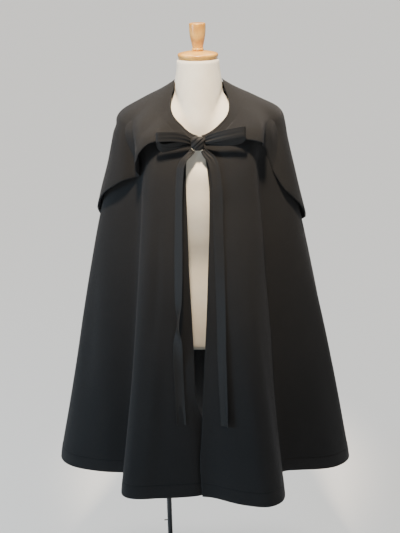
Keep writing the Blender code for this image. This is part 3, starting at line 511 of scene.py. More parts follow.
THREAD_SCALE, WOBBLE_SCALE, AGE_SCALE = 700.0, 30.0, 14.0
PORE_SCALE, GRAIN_SCALE, GRAIN_STRETCH = 420.0, 55.0, 0.16
SPECK_SCALE, DUST_SCALE = 420.0, 22.0

# The sizes that the cloth was cut to. The ribbon's lengths are plain rectangles
Cut = namedtuple("Cut", "width length area")
FRONT_RIGHT_CUT = Cut(0.59, 1.11, 0.38)
FRONT_LEFT_CUT = Cut(0.62, 1.11, 0.41)
BACK_CUT = Cut(1.16, 1.11, 0.81)
HOOD_CUT = Cut(0.82, 0.92, 0.34)
TAIL_CUT = Cut(0.024, 0.71, None)
LOOP_CUT = Cut(0.024, 0.20, None)

# The photograph's camera, the floor and the lights
CAMERA_PLACE = Vector((-0.0055, -2.2, 1.76))
CAMERA_TILT = 20.0
CAMERA_ROLL = 1.2
FRAME_HEIGHT = 533
FOCAL_PIXELS = 900
SENSOR = 24.0
FLOOR_REACH = 60.0
FLOOR_DROP = 0.0003
SKY_STRENGTH = 0.12
WINDOW_SIZE = 1.0
SPOT_CONE = 18
SPOT_BLEND = 0.8
SPOT_SIZE = 0.13
SUN_ANGLE = 1.0


# Numbers read from tables


def curve_at(table, position):
    """A Catmull-Rom curve through the rows of a table, read at positions counted in rows."""
    table = np.asarray(table, float)
    last = len(table) - 1
    position = np.clip(np.asarray(position, float), 0, last)
    i = np.minimum(position.astype(int), last - 1)
    t = (position - i)[..., None]
    padded = np.vstack([2 * table[0] - table[1], table, 2 * table[-1] - table[-2]])
    a, b, c, d = (padded[i + k] for k in range(4))
    return b + 0.5 * t * (c - a + t * (2 * a - 5 * b + 4 * c - d + t * (3 * (b - c) + d - a)))


def smooth_rows(rows, key):
    """The later columns of a table, read smoothly at keys in its first column."""
    rows = np.asarray(rows, float)
    sign = 1 if rows[-1, 0] > rows[0, 0] else -1
    position = np.interp(sign * np.asarray(key, float), sign * rows[:, 0], np.arange(len(rows)))
    return curve_at(rows[:, 1:], position)


def ring_table(rings):
    return np.array([ring[1:] for ring in rings])


# The cloak's surface


def ring_radius(ring, degrees):
    """The radius and height of rings, given as their seven sizes, at angles."""
    z_front, z_side, z_back, half_width, front, back, square = np.moveaxis(np.asarray(ring, float), -1, 0)
    turn = np.radians(degrees)
    s, c = np.sin(turn), np.cos(turn)
    depth = np.where(c >= 0, front, back)
    z = z_side + (np.where(c >= 0, z_front, z_back) - z_side) * c * c
    radius = (np.abs(s / half_width) ** square + np.abs(c / depth) ** square) ** (-1 / square)
    return radius, z


def polar(degrees, radius, z):
    turn = np.radians(degrees)
    return np.stack(np.broadcast_arrays(radius * np.sin(turn), -radius * np.cos(turn), z), -1)


def wrapped(degrees):
    return (degrees + 180) % 360 - 180


def eased(share):
    """A smooth step from 0 to 1."""
    share = np.clip(share, 0, 1)
    return share * share * (3 - 2 * share)


def bell(away):
    """A soft bump of height 1, which has nearly died out at twice its width."""
    return np.exp(-(away**2))


def fold_depth(degrees, z, follow=1.0):
    """How far the folds move the cloth out. Valleys are followed by a share of their depth."""
    total = np.zeros(np.shape(z))
    for fold in FOLDS:
        share = np.clip((fold.start - z) / (fold.start - HEM_HEIGHT), 0, 1)
        grown = share**fold.growth * eased((fold.start - z) / FOLD_ONSET)
        depth = fold.depth if fold.depth > 0 else fold.depth * follow
        total += depth * grown * bell(wrapped(degrees - fold.angle) / fold.width)
    return total


def crease_depth(degrees, z):
    total = np.zeros(np.shape(z))
    for crease in CREASES:
        run = np.clip((crease.top - z) / (crease.top - crease.bottom), 0, 1)
        away = wrapped(degrees - crease.angle - crease.drift * run)
        total += crease.depth * np.sin(math.pi * run) ** 2 * bell(away / crease.width)
    return total


def cloak(degrees, level, follow=1.0):
    """The outer face of the cloak, or with a smaller follow a surface that spans its valleys."""
    degrees, level = np.broadcast_arrays(np.asarray(degrees, float), np.asarray(level, float))
    radius, z = ring_radius(curve_at(ring_table(BODY_RINGS), level), degrees)
    radius = radius + fold_depth(degrees, z, follow) + crease_depth(degrees, z)
    away = wrapped(degrees)
    eases = smooth_rows(NECK_EASES, np.abs(away))
    ease = np.where(away > 0, eases[..., 1], eases[..., 0])
    radius = radius + ease * np.clip(1 - level / NECK_EASE_LEVELS, 0, 1)
    return polar(degrees, radius, z)


def unit(vectors):
    return vectors / np.linalg.norm(vectors, axis=-1, keepdims=True)


def cloak_normal(degrees, level, follow=1.0):
    """The direction out of the cloak, from its slopes round and down."""
    level = np.asarray(level, float)
    low, high = np.maximum(level - SLOPE_DROP, 0.0), np.minimum(level + SLOPE_DROP, LAST_LEVEL)
    around = cloak(degrees + SLOPE_TURN, level, follow) - cloak(degrees - SLOPE_TURN, level, follow)
    down = cloak(degrees, high, follow) - cloak(degrees, low, follow)
    return unit(np.cross(down, around))


def halved(low, high, falls_short):
    """The values between low and high up to which falls_short is true."""
    for _ in range(HALVINGS):
        middle = (low + high) / 2
        short = falls_short(middle)
        low, high = np.where(short, middle, low), np.where(short, high, middle)
    return (low + high) / 2


def level_at(degrees, z):
    """The level at which the cloak passes a height, at an angle."""
    degrees, z = np.broadcast_arrays(np.asarray(degrees, float), np.asarray(z, float))
    rings = ring_table(BODY_RINGS)
    end = np.full(z.shape, float(LAST_LEVEL))
    return halved(0 * end, end, lambda level: ring_radius(curve_at(rings, level), degrees)[1] > z)


def front_angle(x, level):
    """The angle at which the cloak's front has this x at a level."""
    x, level = np.broadcast_arrays(np.asarray(x, float), np.asarray(level, float))
    end = np.full(x.shape, FRONT_LIMIT)
    return halved(-end, end, lambda degrees: cloak(degrees, level)[..., 0] < x)


def front_place(x, z):
    """The angle and level of the points on the cloak's front that have these x and z."""
    degrees = np.zeros(np.shape(x))
    for _ in range(PLACE_PASSES):
        level = level_at(degrees, z)
        degrees = front_angle(x, level)
    return degrees, level_at(degrees, z)


# Mesh making


def steps_along(points, axis=0):
    """The distances between neighbouring points along one axis of a grid."""
    return np.linalg.norm(np.diff(points, axis=axis), axis=-1)


def run_of(steps):
    """How far along a line each of its points is."""
    return np.concatenate([[0.0], np.cumsum(steps)])


def grid_quads(grid):
    """Faces between the points of a grid, wound from each point down, then across."""
    return np.stack([grid[:-1, :-1], grid[1:, :-1], grid[1:, 1:], grid[:-1, 1:]], -1).reshape(-1, 4)


def add_object(name, mesh, material):
    mesh.materials.append(material)
    made = bpy.data.objects.new(name, mesh)
    bpy.context.scene.collection.objects.link(made)
    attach(made, "root")
    return made


def mesh_from(name, points, faces, uv, floats):
    """A smooth mesh. Floats are named values of each point, which the materials read."""
    mesh = bpy.data.meshes.new(name)
    mesh.from_pydata(points.tolist(), [], faces.tolist())
    corners = np.zeros(len(mesh.loops), np.int32)
    mesh.loops.foreach_get("vertex_index", corners)
    mesh.uv_layers.new(name="cut").data.foreach_set("uv", uv[corners].astype(np.float32).ravel())
    for key, values in floats.items():
        values = values.astype(np.float32).ravel()
        mesh.attributes.new(key, "FLOAT", "POINT").data.foreach_set("value", values)
    mesh.shade_smooth()
    return mesh


def boundary(grid):
    """The indices round a grid's edge: down the first column, along the last row, up and back."""
    return np.concatenate([grid[:-1, 0], grid[-1, :-1], grid[:0:-1, -1], grid[0, :0:-1]])


def wall(name, outer, inner, uv, floats):
    """A closed wall between two grids of points, with a rounded rim. The outer grid's faces point out when
    rows run down and columns run from the wearer's right to left, as seen from the front."""
    rows, columns = outer.shape[:2]
    half = rows * columns
    grid = np.arange(half).reshape(rows, columns)
    quads = grid_quads(grid)
    rim = boundary(grid)
    flat_outer, flat_inner = outer.reshape(-1, 3), inner.reshape(-1, 3)
    i, j = rim // columns, rim % columns
    inward = grid[np.clip(i, 1, rows - 2), np.clip(j, 1, columns - 2)]
    middle = (flat_outer + flat_inner) / 2
    thick = np.linalg.norm(flat_outer[rim] - flat_inner[rim], axis=-1, keepdims=True)
    edge = middle[rim] + unit(middle[rim] - middle[inward]) * thick * RIM_ROUND
    points = np.vstack([flat_outer, flat_inner, edge])
    k = np.arange(len(rim))
    turned = np.roll(k, -1)
    rim_outer = np.stack([rim[turned], rim, 2 * half + k, 2 * half + turned], -1)
    rim_inner = np.stack([2 * half + turned, 2 * half + k, half + rim, half + rim[turned]], -1)
    faces = np.vstack([quads, half + quads[:, ::-1], rim_outer, rim_inner])
    flat = {key: values.reshape(-1) for key, values in floats.items()}
    floats = {key: np.concatenate([values, values, values[rim]]) for key, values in flat.items()}
    uv = uv.reshape(-1, 2)
    return mesh_from(name, points, faces, np.vstack([uv, uv, uv[rim]]), floats)


def cut_lengths(outer):
    """Each point's place in the cloth in metres: across from the first column, down from the first row."""
    u = np.pad(np.cumsum(steps_along(outer, 1), 1), ((0, 0), (1, 0)))
    v = np.pad(np.cumsum(steps_along(outer, 0), 0), ((1, 0), (0, 0)))
    return u, v


def spaced_angles(start, end, count, level=LAST_LEVEL):
    """Angles that share out the cloak's length round a level evenly."""
    angles = np.linspace(start, end, RUN_STEPS + 1)
    run = run_of(steps_along(cloak(angles, level)))
    return np.interp(np.linspace(0, run[-1], count), run, angles)


def seam_turn(degrees, level):
    """The angle that half a seam's gap takes up at this radius."""
    place = cloak(degrees, level)
    return np.degrees(SEAM_GAP / 2 / np.hypot(place[..., 0], place[..., 1]))


# Materials


def new_material(name):
    made = bpy.data.materials.new(name)
    made.use_nodes = True
    tree = made.node_tree
    return made, tree, tree.nodes["Principled BSDF"]


def feed(tree, made, inputs):
    """Link or set a node's inputs."""
    for key, value in inputs.items():
        if isinstance(value, bpy.types.NodeSocket):
            tree.links.new(value, made.inputs[key])
        else:
            made.inputs[key].default_value = value


def node(tree, kind, inputs=None, **settings):
    made = tree.nodes.new(kind)
    for key, value in settings.items():
        setattr(made, key, value)
    feed(tree, made, inputs or {})
    return made


def maths(tree, operation, a, b=0.0):
    return node(tree, "ShaderNodeMath", {0: a, 1: b}, operation=operation).outputs[0]


def mix_colour(tree, factor, a, b):
    """A mix of two colours, each a socket or three numbers."""
    first, second = (side if isinstance(side, bpy.types.NodeSocket) else (*side, 1.0) for side in (a, b))
    inputs = {"Factor": factor, 6: first, 7: second}
    return node(tree, "ShaderNodeMix", inputs, data_type="RGBA").outputs[2]


def attribute(tree, name):
    return node(tree, "ShaderNodeAttribute", attribute_name=name).outputs["Fac"]


def object_place(tree):
    return node(tree, "ShaderNodeTexCoord").outputs["Object"]


def noise(tree, vector, scale, detail=3.0, roughness=0.5):
    inputs = {"Vector": vector, "Scale": scale, "Detail": detail, "Roughness": roughness}
    return node(tree, "ShaderNodeTexNoise", inputs).outputs["Fac"]


def spread(tree, value, to_low, to_high, low=0.3, high=0.7):
    """Noise, most of which lies between low and high, spread over another range."""
    inputs = {"Value": value, "From Min": low, "From Max": high, "To Min": to_low, "To Max": to_high}
    return node(tree, "ShaderNodeMapRange", inputs).outputs[0]


def bump(tree, height, strength, distance):
    inputs = {"Strength": strength, "Distance": distance, "Height": height}
    return node(tree, "ShaderNodeBump", inputs).outputs[0]


def cloth_material(name, dark, light, roughness, sheen_tint, twill):
    """Woven cloth: a diagonal twill line, fine fibre, broad wear, and stitches where the mesh has them."""
    made, tree, shader = new_material(name)
    uv = node(tree, "ShaderNodeUVMap", uv_map="cut").outputs[0]
    place = object_place(tree)
    split = node(tree, "ShaderNodeSeparateXYZ", {0: uv})
    diagonal = maths(tree, "ADD", split.outputs[0], split.outputs[1])
    phase = maths(tree, "MULTIPLY", diagonal, 2 * math.pi / TWILL_PITCH)
    twill_line = maths(tree, "SINE", phase)
    fibre = noise(tree, place, FIBRE_SCALE, 2.0)
    wear = noise(tree, place, WEAR_SCALE, 3.0, 0.55)
    fleck = noise(tree, place, FLECK_SCALE, 2.0)
    broad = spread(tree, wear, 0.25, 0.75)
    fine = maths(tree, "MULTIPLY", maths(tree, "SUBTRACT", fleck, 0.5), FLECK_SHARE)
    run = maths(tree, "MULTIPLY", attribute(tree, "run"), 1 / STITCH_LENGTH)
    dash = maths(tree, "GREATER_THAN", maths(tree, "FRACT", run), STITCH_SPACE)
    away = maths(tree, "ABSOLUTE", attribute(tree, "seam"))
    near = maths(tree, "LESS_THAN", away, STITCH_WIDTH)
    stitch = maths(tree, "MULTIPLY", dash, near)
    height = maths(tree, "MULTIPLY", twill_line, twill)
    height = maths(tree, "ADD", height, maths(tree, "MULTIPLY", fibre, FIBRE_HEIGHT))
    height = maths(tree, "ADD", height, maths(tree, "MULTIPLY", stitch, STITCH_HEIGHT))
    looks = {
        "Base Color": mix_colour(tree, maths(tree, "ADD", broad, fine), dark, light),
        "Roughness": spread(tree, fleck, roughness - ROUGHNESS_RANGE, roughness + ROUGHNESS_RANGE),
        "Specular IOR Level": 0.35,
        "Sheen Weight": 0.05,
        "Sheen Roughness": 0.45,
        "Sheen Tint": (*sheen_tint, 1.0),
        "Normal": bump(tree, height, strength=0.45, distance=0.0004),
    }
    feed(tree, shader, looks)
    return made


def form_material():
    """Ribbed cover cloth of the dress form: fine ribs round the body and a slightly aged cream."""
    made, tree, shader = new_material("form-cover")
    place = object_place(tree)
    split = node(tree, "ShaderNodeSeparateXYZ", {0: place})
    wobble = maths(tree, "MULTIPLY", noise(tree, place, WOBBLE_SCALE, 1.0), RIB_WOBBLE)
    rib_place = maths(tree, "ADD", split.outputs[2], wobble)
    rib = maths(tree, "SINE", maths(tree, "MULTIPLY", rib_place, 2 * math.pi / RIB_PITCH))
    thread = noise(tree, place, THREAD_SCALE, 2.0)
    tone = spread(tree, noise(tree, place, AGE_SCALE, 4.0, 0.6), 0.0, 1.0)
    height = maths(tree, "ADD", rib, maths(tree, "MULTIPLY", thread, THREAD_HEIGHT))
    looks = {
        "Base Color": mix_colour(tree, tone, COVER_AGED, COVER_CLEAN),
        "Roughness": 0.85,
        "Sheen Weight": 0.15,
        "Normal": bump(tree, height, strength=0.5, distance=0.0004),
    }
    feed(tree, shader, looks)
    return made


def wood_material():
    """Turned, varnished pale wood with grain along the turning axis and end-grain rings."""
    made, tree, shader = new_material("turned-wood")
    inputs = {"Vector": object_place(tree), "Scale": (1.0, 1.0, GRAIN_STRETCH)}
    stretched = node(tree, "ShaderNodeMapping", inputs).outputs[0]
    inputs = {"Vector": stretched, "Scale": GRAIN_SCALE, "Distortion": 3.0}
    inputs |= {"Detail": 3.0, "Detail Scale": 1.6}
    rings = node(tree, "ShaderNodeTexWave", inputs, wave_type="RINGS").outputs["Fac"]
    pore = noise(tree, stretched, PORE_SCALE, 2.0)
    grain = mix_colour(tree, rings, WOOD_DARK, WOOD_LIGHT)
    open_pore = spread(tree, pore, 0.0, 0.35, low=0.55, high=0.75)
    looks = {
        "Base Color": mix_colour(tree, open_pore, grain, WOOD_PORE),
        "Roughness": spread(tree, pore, 0.30, 0.42),
        "Coat Weight": 0.35,
        "Coat Roughness": 0.18,
        "Normal": bump(tree, rings, strength=0.12, distance=0.0003),
    }
    feed(tree, shader, looks)
    return made


def metal_material():
    """Satin black paint on steel, with faint dust and small unevenness."""
    made, tree, shader = new_material("stand-metal")
    place = object_place(tree)
    dust = noise(tree, place, DUST_SCALE, 4.0, 0.6)
    speck = noise(tree, place, SPECK_SCALE, 2.0)
    tone = spread(tree, dust, 0.0, 1.0, low=0.35)
    looks = {
        "Base Color": mix_colour(tree, tone, PAINT_DARK, PAINT_LIGHT),
        "Roughness": spread(tree, dust, 0.36, 0.52),
        "Normal": bump(tree, speck, strength=0.10, distance=0.0002),
    }
    feed(tree, shader, looks)
    return made


# Pieces of the cloak


def groove(distance, width=LINE_WIDTH, depth=LINE_DEPTH):
    """How far the cloth is pulled in beside a line of stitches or a seam."""
    return depth * bell(distance / width)


def body_levels():
    """The rows' levels: even down the cloth, and closer at the hem's stitch line and edge."""
    fine = np.linspace(0, LAST_LEVEL, RUN_STEPS + 1)
    run = run_of(steps_along(cloak(SIDE_SEAM, fine)))
    even = np.linspace(0, run[-1], BODY_ROWS)
    stitched = run[-1] - HEM_TURN
    line = stitched + np.linspace(-LINE_REACH, LINE_REACH, LINE_ROWS) * LINE_WIDTH
    edge = run[-1] - np.array(HEM_EDGE_ROWS)
    places = np.unique(np.concatenate([even[np.abs(even - stitched) > LINE_CLEAR], line, edge]))
    return np.interp(places, run, fine), run[-1] - places


def body_sheet(name, angles, levels, to_hem, ins, material):
    """A panel from a grid of angles and levels. Ins is how far its points are tucked in."""
    pulled = groove(to_hem - HEM_TURN)[:, None] + ins
    swell = HEM_SWELL * np.clip((HEM_TURN - to_hem) / HEM_SWELL_RUN, 0, 1)[:, None]
    normal = cloak_normal(angles, levels[:, None])
    face = cloak(angles, levels[:, None])
    outer = face + (swell - pulled)[..., None] * normal
    inner = face + (-pulled - CLOTH - swell * 2)[..., None] * normal
    u, v = cut_lengths(outer)
    seam = np.broadcast_to((to_hem - HEM_TURN)[:, None], angles.shape)
    mesh = wall(name, outer, inner, np.stack([u, v], -1), {"seam": seam, "run": u})
    return add_object(name, mesh, material)


def side_radius(levels):
    """How far the side seams are from the upright axis, as a column."""
    return np.hypot(*cloak(SIDE_SEAM, levels)[:, :2].T)[:, None]


def build_front(side, material):
    levels, to_hem = body_levels()
    z_middle = cloak(0.0, levels)[:, 2]
    right, left, tuck = smooth_rows(FRONT_EDGES, z_middle).T
    edge = front_angle(right if side < 0 else left, levels)
    tuck = np.maximum(tuck, 0) * (side < 0)
    stations = spaced_angles(side * EDGE_REACH, side * SIDE_SEAM, FRONT_COLUMNS)
    share = np.linspace(0, 1, EDGE_COLUMNS, endpoint=False)
    near = edge[:, None] + (stations[0] - edge)[:, None] * share
    angles = np.hstack([near, np.tile(stations, (len(levels), 1))])
    angles[:, -1] -= side * seam_turn(SIDE_SEAM, levels)
    ins = np.pad(tuck[:, None] * bell(share / TUCK_FADE), ((0, 0), (0, FRONT_COLUMNS)))
    arc = np.radians(np.abs(wrapped(angles - angles[:, -1:]))) * side_radius(levels)
    ins = ins + groove(arc, SEAM_WIDTH, SEAM_DEPTH)
    if side < 0:
        angles, ins = angles[:, ::-1], ins[:, ::-1]
    name = "cloak-front-right" if side < 0 else "cloak-front-left"
    return body_sheet(name, angles, levels, to_hem, ins, material)


def build_back(material):
    levels, to_hem = body_levels()
    stations = spaced_angles(SIDE_SEAM, 360 - SIDE_SEAM, BACK_COLUMNS)
    angles = np.tile(stations, (len(levels), 1))
    angles[:, 0] += seam_turn(SIDE_SEAM, levels)
    angles[:, -1] -= seam_turn(SIDE_SEAM, levels)
    arc = np.radians(np.minimum(angles - SIDE_SEAM, 360 - SIDE_SEAM - angles)) * side_radius(levels)
    return body_sheet("cloak-back", angles, levels, to_hem, groove(arc, SEAM_WIDTH, SEAM_DEPTH), material)


def hood_crease_depth(degrees, share):
    total = 0.0
    for crease in HOOD_CREASES:
        run = np.clip((share - crease.top) / (crease.bottom - crease.top), 0, 1)
        away = degrees - crease.angle - (crease.fold_angle - crease.angle) * share
        total = total + crease.depth * np.sin(math.pi * run) ** 2 * bell(away / crease.width)
    return total


def hood_angles(side):
    """The columns of one half of the hood, listed from the wearer's right to left."""
    front = np.linspace(HOOD_START, SIDE_SEAM, HOOD_FRONT_COLUMNS, endpoint=False)
    behind = spaced_angles(SIDE_SEAM, BACK_MIDDLE, HOOD_BACK_COLUMNS, HOOD_SPACING_LEVEL)
    turn = np.concatenate([front, behind])
    turn[-1] -= seam_turn(BACK_MIDDLE, 0.0)
    return turn if side > 0 else -turn[::-1]


def build_hood(side, material):
    """Half of the dropped hood: the outer layer, the fold, and the under layer back up to the neck."""
    angles = hood_angles(side)
    fold_z, start = smooth_rows(HOOD_LEFT_LINES if side > 0 else HOOD_RIGHT_LINES, np.abs(angles)).T
    fold_level = level_at(angles, fold_z)

    # The outer layer, from the face edge down to the fold
    share = np.linspace(0, 1, HOOD_ROWS)
    level = start + share[:, None] * (fold_level - start)
    crease = hood_crease_depth(angles, share[:, None])
    puffs = smooth_rows(HOOD_PUFFS, np.abs(angles)).T
    out = curve_at(puffs, share * (len(puffs) - 1)) + crease
    place, normal = cloak(angles, level, HOOD_FOLLOW), cloak_normal(angles, level, HOOD_FOLLOW)
    rise, inward = smooth_rows(HOOD_RIMS, np.abs(angles)).T
    climb = np.clip(1 - share / HOOD_RIM_SHARE, 0, 1)[:, None] ** 2
    upper = place + out[..., None] * normal + polar(angles, -inward * climb, rise * climb)
    pull = groove(cut_lengths(upper)[1] - RIM_STITCH)
    outer = [upper - pull[..., None] * normal]
    inner = [upper - (CLOTH + pull * UNDERSIDE_PULL)[..., None] * normal]

    # The fold, half a turn round between the two layers
    top = out[-1]
    bottom = top - 2 * CLOTH - HOOD_LAYER_GAP
    middle, thick = (top + bottom) / 2, (top - bottom) / 2
    root = place[-1]
    down = unit(root - cloak(angles, fold_level - SLOPE_DROP, HOOD_FOLLOW))
    for k in range(1, HOOD_FOLD_STEPS + 1):
        bend = math.pi * k / (HOOD_FOLD_STEPS + 1)
        for rows, size in ((outer, thick), (inner, thick - CLOTH)):
            lift = (middle + size * math.cos(bend))[:, None] * normal[-1]
            rows.append((root + lift + (size * math.sin(bend))[:, None] * down)[None])

    # The under layer, from the fold back up to the neck seam
    share = np.linspace(1, 0, HOOD_UNDER_ROWS)[:, None]
    level = share * fold_level
    place, normal = cloak(angles, level, HOOD_FOLLOW), cloak_normal(angles, level, HOOD_FOLLOW)
    spanned = np.linalg.norm(place - cloak(angles, level), axis=-1)
    plain = HOOD_LIFT + (bottom - crease[-1] - HOOD_LIFT) * share**2
    out = plain + hood_crease_depth(angles, share)
    out = np.maximum(out, HOOD_LIFT - HOOD_UNDER_REACH * spanned)
    outer.append(place + out[..., None] * normal)
    inner.append(place + (out + CLOTH)[..., None] * normal)

    outer, inner = np.concatenate(outer), np.concatenate(inner)
    u, v = cut_lengths(outer)
    name = "hood-right" if side < 0 else "hood-left"
    mesh = wall(name, outer, inner, np.stack([u, v], -1), {"seam": v - RIM_STITCH, "run": u})
    return add_object(name, mesh, material)


# The ribbon


def pleat_wave(place, pleats):
    """The shape of a set of pleats at places across them."""
    return sum(np.sin(place * 2 * math.pi / p.pitch + p.phase) * p.share for p in pleats)


def ribbon(name, middles, acrosses, widths, gathers, curl, material, sheared=False):
    """A flat ribbon along a line of middles, each with the direction across it. Gathers is the height of
    its pleats, and curl how far its middle stands out. A sheared one keeps its directions as given."""
    along = unit(np.gradient(middles, axis=0))
    acrosses = unit(acrosses)
    shared = (acrosses * along).sum(-1, keepdims=True)
    if sheared:
        along = unit(along - shared * acrosses)
    else:
        acrosses = unit(acrosses - shared * along)
    face = unit(np.cross(along, acrosses))
    place = np.linspace(-0.5, 0.5, RIBBON_COLUMNS + 1)
    to_edge = 0.5 - np.abs(place)
    height = gathers[:, None] * pleat_wave(place, RIBBON_PLEATS) + curl[:, None] * (1 - 4 * place**2)
    line = middles[:, None] + acrosses[:, None] * (place * widths[:, None])[..., None]
    line = line + face[:, None] * height[..., None]
    selvedge = 1 - SELVEDGE_THINNING * bell(to_edge / SELVEDGE_SHARE)
    half = (RIBBON / 2 * selvedge)[None, :, None]
    outer, inner = line + face[:, None] * half, line - face[:, None] * half
    u, v = cut_lengths(outer)
    seam = to_edge * widths[:, None] - SELVEDGE_LINE
    mesh = wall(name, outer, inner, np.stack([u, v], -1), {"seam": seam, "run": v})
    return add_object(name, mesh, material)


def build_tail(name, table, material):
    """A tail hangs down the front from the knot. Turn is how far it is turned from lying flat."""
    share = np.linspace(0, 1, TAIL_ROWS)
    z = table[0].z + (table[-1].z - table[0].z) * share**TAIL_SPREAD
    x, lift, turn, width = smooth_rows(table, z).T
    degrees, level = front_place(x, z)
    normal = cloak_normal(degrees, level)
    stand = np.abs(np.sin(np.radians(turn))) * width / 2
    wave = np.sin(share * TAIL_WAVES[0]) * np.sin(share * TAIL_WAVES[1] + 1)
    wave = TAIL_RIPPLE * wave * np.clip(share / TAIL_RIPPLE_START, 0, 1)
    middles = cloak(degrees, level) + normal * (lift + stand + np.abs(wave))[:, None]
    level_line = unit(np.cross((0.0, 0.0, 1.0), normal))
    angle = np.radians(turn)[:, None]
    acrosses = level_line * np.cos(angle) + normal * np.sin(angle)
    gathers = TAIL_GATHER * bell(share / TAIL_GATHER_REACH)
    curl = TAIL_CURL * (0.5 + 0.5 * np.cos(share * TAIL_CURL_WAVE + turn[0] / TAIL_CURL_PHASE))
    curl = curl + TAIL_END_CURL * share**TAIL_END_POWER
    return ribbon(name, middles, acrosses, width, gathers, curl, material)


def build_loop(name, table, material):
    share = np.linspace(0, 1, LOOP_ROWS)
    x, y, z, width, lean = curve_at(table, share * (len(table) - 1)).T
    lean = np.radians(lean)
    acrosses = np.stack([np.zeros(LOOP_ROWS), -np.sin(lean), -np.cos(lean)], -1)
    gathers = LOOP_GATHER_REST + LOOP_GATHER * bell(np.minimum(share, 1 - share) / LOOP_GATHER_REACH)
    middles = np.stack([x, y, z], -1)
    return ribbon(name, middles, acrosses, width, gathers, np.zeros(LOOP_ROWS), material, sheared=True)


def boxed(values, power):
    """Sines or cosines pushed outward, so that a ball made of them nears a box."""
    return np.sign(values) * np.abs(values) ** power


def build_knot(material):
    """The knot: the tie wrapped round itself in bands that slant down to the wearer's right and overlap."""
    tilt = np.linspace(KNOT_POLE, math.pi - KNOT_POLE, KNOT_ROWS)[:, None]
    turn = np.linspace(0, 2 * math.pi, KNOT_SIDES + 1)[None, :]
    ring = np.sin(tilt) ** KNOT_BOX_DOWN
    x = boxed(np.sin(turn), KNOT_BOX_ROUND) * ring
    y = -boxed(np.cos(turn), KNOT_BOX_ROUND) * ring
    z = boxed(np.cos(tilt), KNOT_BOX_DOWN) * np.ones_like(turn)
    shape = np.stack([x, y, z], -1) * np.array(KNOT_SIZE) / 2
    slant = shape[..., 2] - KNOT_SLANT * shape[..., 0] + KNOT_BOW * (shape[..., 0] / KNOT_SIZE.x) ** 2
    reach = KNOT_SIZE.z / 2 + KNOT_SLANT * KNOT_SIZE.x / 2
    steps = sum(np.tanh((slant - edge) / KNOT_EDGE) for edge in KNOT_BANDS) / 2
    steps = (steps - len(KNOT_BANDS) * slant / reach / 2) * KNOT_STEP
    height = (steps + KNOT_PLEAT * pleat_wave(slant, KNOT_PLEATS)) * np.sin(tilt) ** 0.5 - KNOT_SINK
    points = shape + height[..., None] * unit(shape / np.array(KNOT_SIZE)) + np.array(KNOT_CENTRE)
    faces = grid_quads(np.arange(x.size).reshape(x.shape))
    uv = np.stack([np.broadcast_to(run * KNOT_RADIUS, z.shape) for run in (turn, tilt)], -1)
    plain = {"seam": np.ones(x.shape), "run": np.zeros(x.shape)}
    mesh = mesh_from("bow-knot", points.reshape(-1, 3), faces, uv.reshape(-1, 2), plain)
    return add_object("bow-knot", mesh, material)


# The dress form and its stand


def capped_mesh(name, rings, sharp, upward=False):
    """A closed mesh through rings of points, with flat ends. Upward rings start at the bottom."""
    count, sides = rings.shape[:2]
    grid = np.arange(count * sides).reshape(count, sides)
    if upward:
        grid = grid[:, ::-1]
    faces = grid_quads(np.hstack([grid, grid[:, :1]])).tolist()
    faces.append(grid[0].tolist())
    faces.append(grid[-1, ::-1].tolist())
    mesh = bpy.data.meshes.new(name)
    mesh.from_pydata(rings.reshape(-1, 3).tolist(), [], faces)
    mesh.shade_smooth()
    mesh.set_sharp_from_angle(angle=math.radians(sharp))
    return mesh


def build_torso(material):
    """The form's covered trunk and neck. Its shoulders follow the cloak's inner face, a rest gap away."""
    angles = np.linspace(0, 360, TORSO_SIDES, endpoint=False)
    ease = REST_GAP + CHEST_EASE * np.maximum(np.cos(np.radians(angles)), 0) ** 2
    rings = [polar(angles, *ring_radius(ring, angles)) for ring in ring_table(NECK_RINGS)]
    for level in SHOULDER_LEVELS:
        rings.append(cloak(angles, level) - (CLOTH + ease)[:, None] * cloak_normal(angles, level))
    rings += [polar(angles, *ring_radius(ring, angles)) for ring in ring_table(TRUNK_RINGS)]
    rings = np.array(rings)
    run = run_of(steps_along(rings).mean(1))
    position = np.interp(np.linspace(0, run[-1], TORSO_ROWS), run, np.arange(len(rings)))
    fine = curve_at(rings.reshape(len(rings), -1), position).reshape(TORSO_ROWS, TORSO_SIDES, 3)
    mesh = capped_mesh("form-trunk", fine, TORSO_SHARP)
    return add_object("form-trunk", mesh, material)


def turned_piece(name, profile, base, material):
    """A turned piece: a smooth profile, listed from the base outward, spun round an upright line."""
    spans = len(profile) - 1
    line = curve_at(profile, np.linspace(0, spans, spans * TURNED_STEPS + 1))
    turn = np.linspace(0, 2 * math.pi, TURNED_SIDES, endpoint=False)
    radius, height = line[:, :1], line[:, 1:]
    rings = np.stack([radius * np.cos(turn), radius * np.sin(turn), height * np.ones_like(turn)], -1)
    mesh = capped_mesh(name, rings + np.array(base), TURNED_SHARP, upward=True)
    return add_object(name, mesh, material)


# The set


def add_camera():
    tilted = Matrix.Rotation(math.radians(90 - CAMERA_TILT), 4, "X")
    rolled = Matrix.Rotation(math.radians(-CAMERA_ROLL), 4, "Z")
    data = bpy.data.cameras.new("camera")
    data.sensor_fit = "VERTICAL"
    data.sensor_height = SENSOR
    data.lens = FOCAL_PIXELS / FRAME_HEIGHT * SENSOR
    made = bpy.data.objects.new("camera", data)
    bpy.context.scene.collection.objects.link(made)
    made.matrix_world = Matrix.Translation(CAMERA_PLACE) @ tilted @ rolled
    bpy.context.scene.camera = made


def add_light(name, kind, place, target, power, colour):
    """A light at a place that is aimed at a target. It hands back the light's own settings."""
    light = bpy.data.lights.new(name, kind)
    light.energy = power
    light.color = colour
    made = bpy.data.objects.new(name, light)
    bpy.context.scene.collection.objects.link(made)
    made.location = place
    made.rotation_euler = (Vector(target) - made.location).to_track_quat("-Z", "Y").to_euler()
    return light


